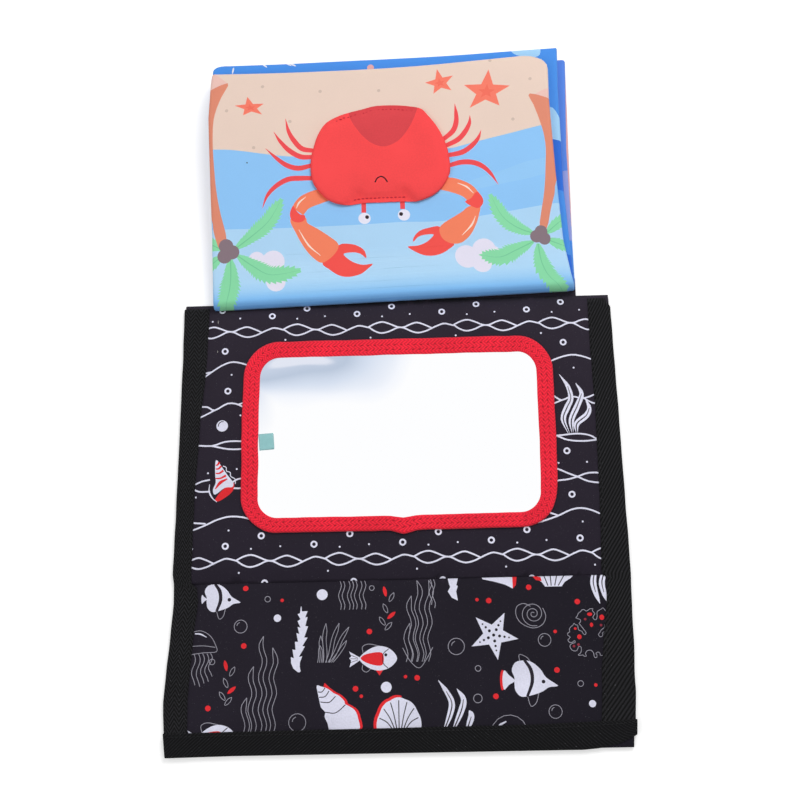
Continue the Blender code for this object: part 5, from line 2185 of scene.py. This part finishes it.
def pad_heights():
    """How high the swelled pad stands over each place, from 0 to 1, as a function of (u, v)."""
    piece, start, ends = swelled_pad()
    moves = ends - start
    reach = np.linalg.norm(moves, axis=1)
    ends = start + moves * np.minimum(1, PAD_CAP * MM / np.maximum(reach, 1e-9))[:, None]
    faces = [tuple(face.vertices) for face in piece.data.polygons]
    tree = BVHTree.FromPolygons([tuple(point) for point in ends], faces)
    highest = ends[:, 2].max()
    bpy.data.objects.remove(piece)

    def height(u, v):
        hit = tree.ray_cast(Vector((u * MM, v * MM, 0.1)), Vector((0, 0, -1)))[0]
        return max(hit.z / highest, 0) if hit else 0.0

    return height


def add_crab():
    leaf = LEAVES[0]
    swell = pad_heights()

    def rise(u, v):
        """The height of the crab's cloth over the leaf."""
        inset, sewn = crab_rim(u, v)
        rim = CRAB_LOOSE_RIM + (CRAB_SEWN_RIM - CRAB_LOOSE_RIM) * sewn
        flat_edge = sewn * (CRAB_SEAM_INSET + 0.4)
        width = CRAB_ROUNDING + (CRAB_SEWN_ROUNDING - CRAB_ROUNDING) * sewn
        rounded = round_over((inset - flat_edge) / width)
        full = CRAB_FULL_HEIGHT * (0.80 + 0.20 * swell(u, v))
        height = rim + (full - rim) * rounded
        near_seam = sewn * math.exp(-abs(inset - CRAB_SEAM_INSET - 3) / 3.4)
        height += CRAB_GATHERS * near_seam * wobble(u, v * 0.4, 5, 5)
        height += CRAB_SWELLS * rounded * wobble(u, v, 16, 9)
        for dent_u, dent_v in CRAB_DENTS:
            across, along = (u - dent_u) / CRAB_DENT_SIZE[0], (v - dent_v) / CRAB_DENT_SIZE[1]
            height -= CRAB_DENT_DEPTH * math.exp(-across ** 2 - along ** 2)
        groove = sewn * math.exp(-(((inset - CRAB_SEAM_INSET) / 0.8) ** 2))
        return max(height - CRAB_GROOVE * groove, CRAB_THINNEST)

    def top(u, v):
        x, y, z = leaf.place(u, v, 1)
        return x, y, z + rise(u, v)

    def under(u, v):
        x, y, z = leaf.place(u, v, 1)
        inset, sewn = crab_rim(u, v)
        rim = CRAB_LOOSE_RIM + (CRAB_SEWN_RIM - CRAB_LOOSE_RIM) * sewn
        rounded = round_over(inset / CRAB_ROUNDING)
        return x, y, z + rim + (CRAB_UNDER - rim) * rounded

    art = Print()
    art.fill(smooth_curve((
        (-22.8, 142), (-19.6, 125), (-16.2, 117.8), (-12.4, 112.2), (-7.2, 106.9), (-0.3, 103.6),
        (6.2, 104), (12.6, 107.4), (17.6, 112.8), (22, 119.6), (26, 129), (28.6, 142),
    )), CRAB_PATCH)
    art.line(((-5.6, 78.2), (-4.1, 80.7), (-1.6, 82), (0.9, 80.9), (2.9, 77.8)), 0.85, DARK)
    edge_again = np.concatenate([crab_edge[-1:], crab_edge, crab_edge[:1]])
    # The outline runs clockwise, so that its inner side is the right one.
    inwards = -side_vectors(edge_again)[1:-1]
    for row in CRAB_RIM_ROWS:
        art.fold(crab_edge + inwards * row)
    back = Print()
    for shape, ink in art.shapes:
        back.fold(shape)
    shell = bmesh.new()
    for label, prints, place in (("crab_top", art, top), ("crab_under", back, under)):
        data = printed_mesh(label, crab_edge, prints, CRAB_BODY, place, 2.2)
        if place is under:
            data.flip_normals()
        shell.from_mesh(data)
        bpy.data.meshes.remove(data)
    bmesh.ops.remove_doubles(shell, verts=shell.verts, dist=0.02 * MM)
    data = finished_mesh("crab_shell", shell)
    data.shade_smooth()
    piece = new_piece(data, CRAB_CLOTH)
    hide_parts("crab_cover", "crab_wadding", "crab_backing")
    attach(piece, "page_1")
    seams = []
    for number, (low, high) in enumerate(CRAB_SEAMS):
        far = number == 0
        seam = []
        for u in stops(low, high, 1.5):
            column = crab_edge[np.abs(crab_edge[:, 0] - u).argsort()]
            edge_v = next(place[1] for place in column if (place[1] > CRAB_MIDDLE_V) == far)
            v = edge_v - CRAB_SEAM_INSET if far else edge_v + CRAB_SEAM_INSET
            seam.append((Vector(top(u, v)) + Vector((0, 0, 0.25)), (0, 0, 1)))
        seams.append(seam)
    data = stitch_mesh("crab_stitches", seams, 2.1, 0.9, 0.8, 2.7)
    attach(new_piece(data, CRAB_THREAD), "page_1")


# The whole book

add_wave_cloth()
add_sea_cloth()
add_side_tape("left_side_tape", -1, LEFT_TAPE, ("panel_tape_left", "flap_tape_left"))
add_side_tape("right_side_tape", 1, RIGHT_TAPE, ("panel_tape_right", "flap_tape_right"))
add_front_webbing()
add_back_cloth()
add_spine_cloth()
add_frame_tape()
add_film_tab()
for name, material, slot in (
    ("mirror_sheet", MIRROR, "mirror"), ("panel_board", BOARD, "board"),
    ("flap_board", BOARD, "board"), ("panel_foam", FOAM, "foam"),
    ("hook_strip", HOOK, "hook"), ("loop_strip", LOOP, "hook"),
):
    finish_node(name, material)
add_leaf(LEAVES[0], beach_print(), sky_with_painted_shade, shell_page(YELLOW, STAR_CORAL), SEA_BLUE)
add_leaf(LEAVES[1], reef_page(), SEA_BLUE, turtle_page(), LILAC)
add_leaf(LEAVES[2], lilac_wave_page(), THIRD_BLUE, whale_page(), SKY)
add_leaf(LEAVES[3], whale_page(), PINK, shell_page(SEA_BLUE, DEEP_BLUE), SKY)
add_crab()
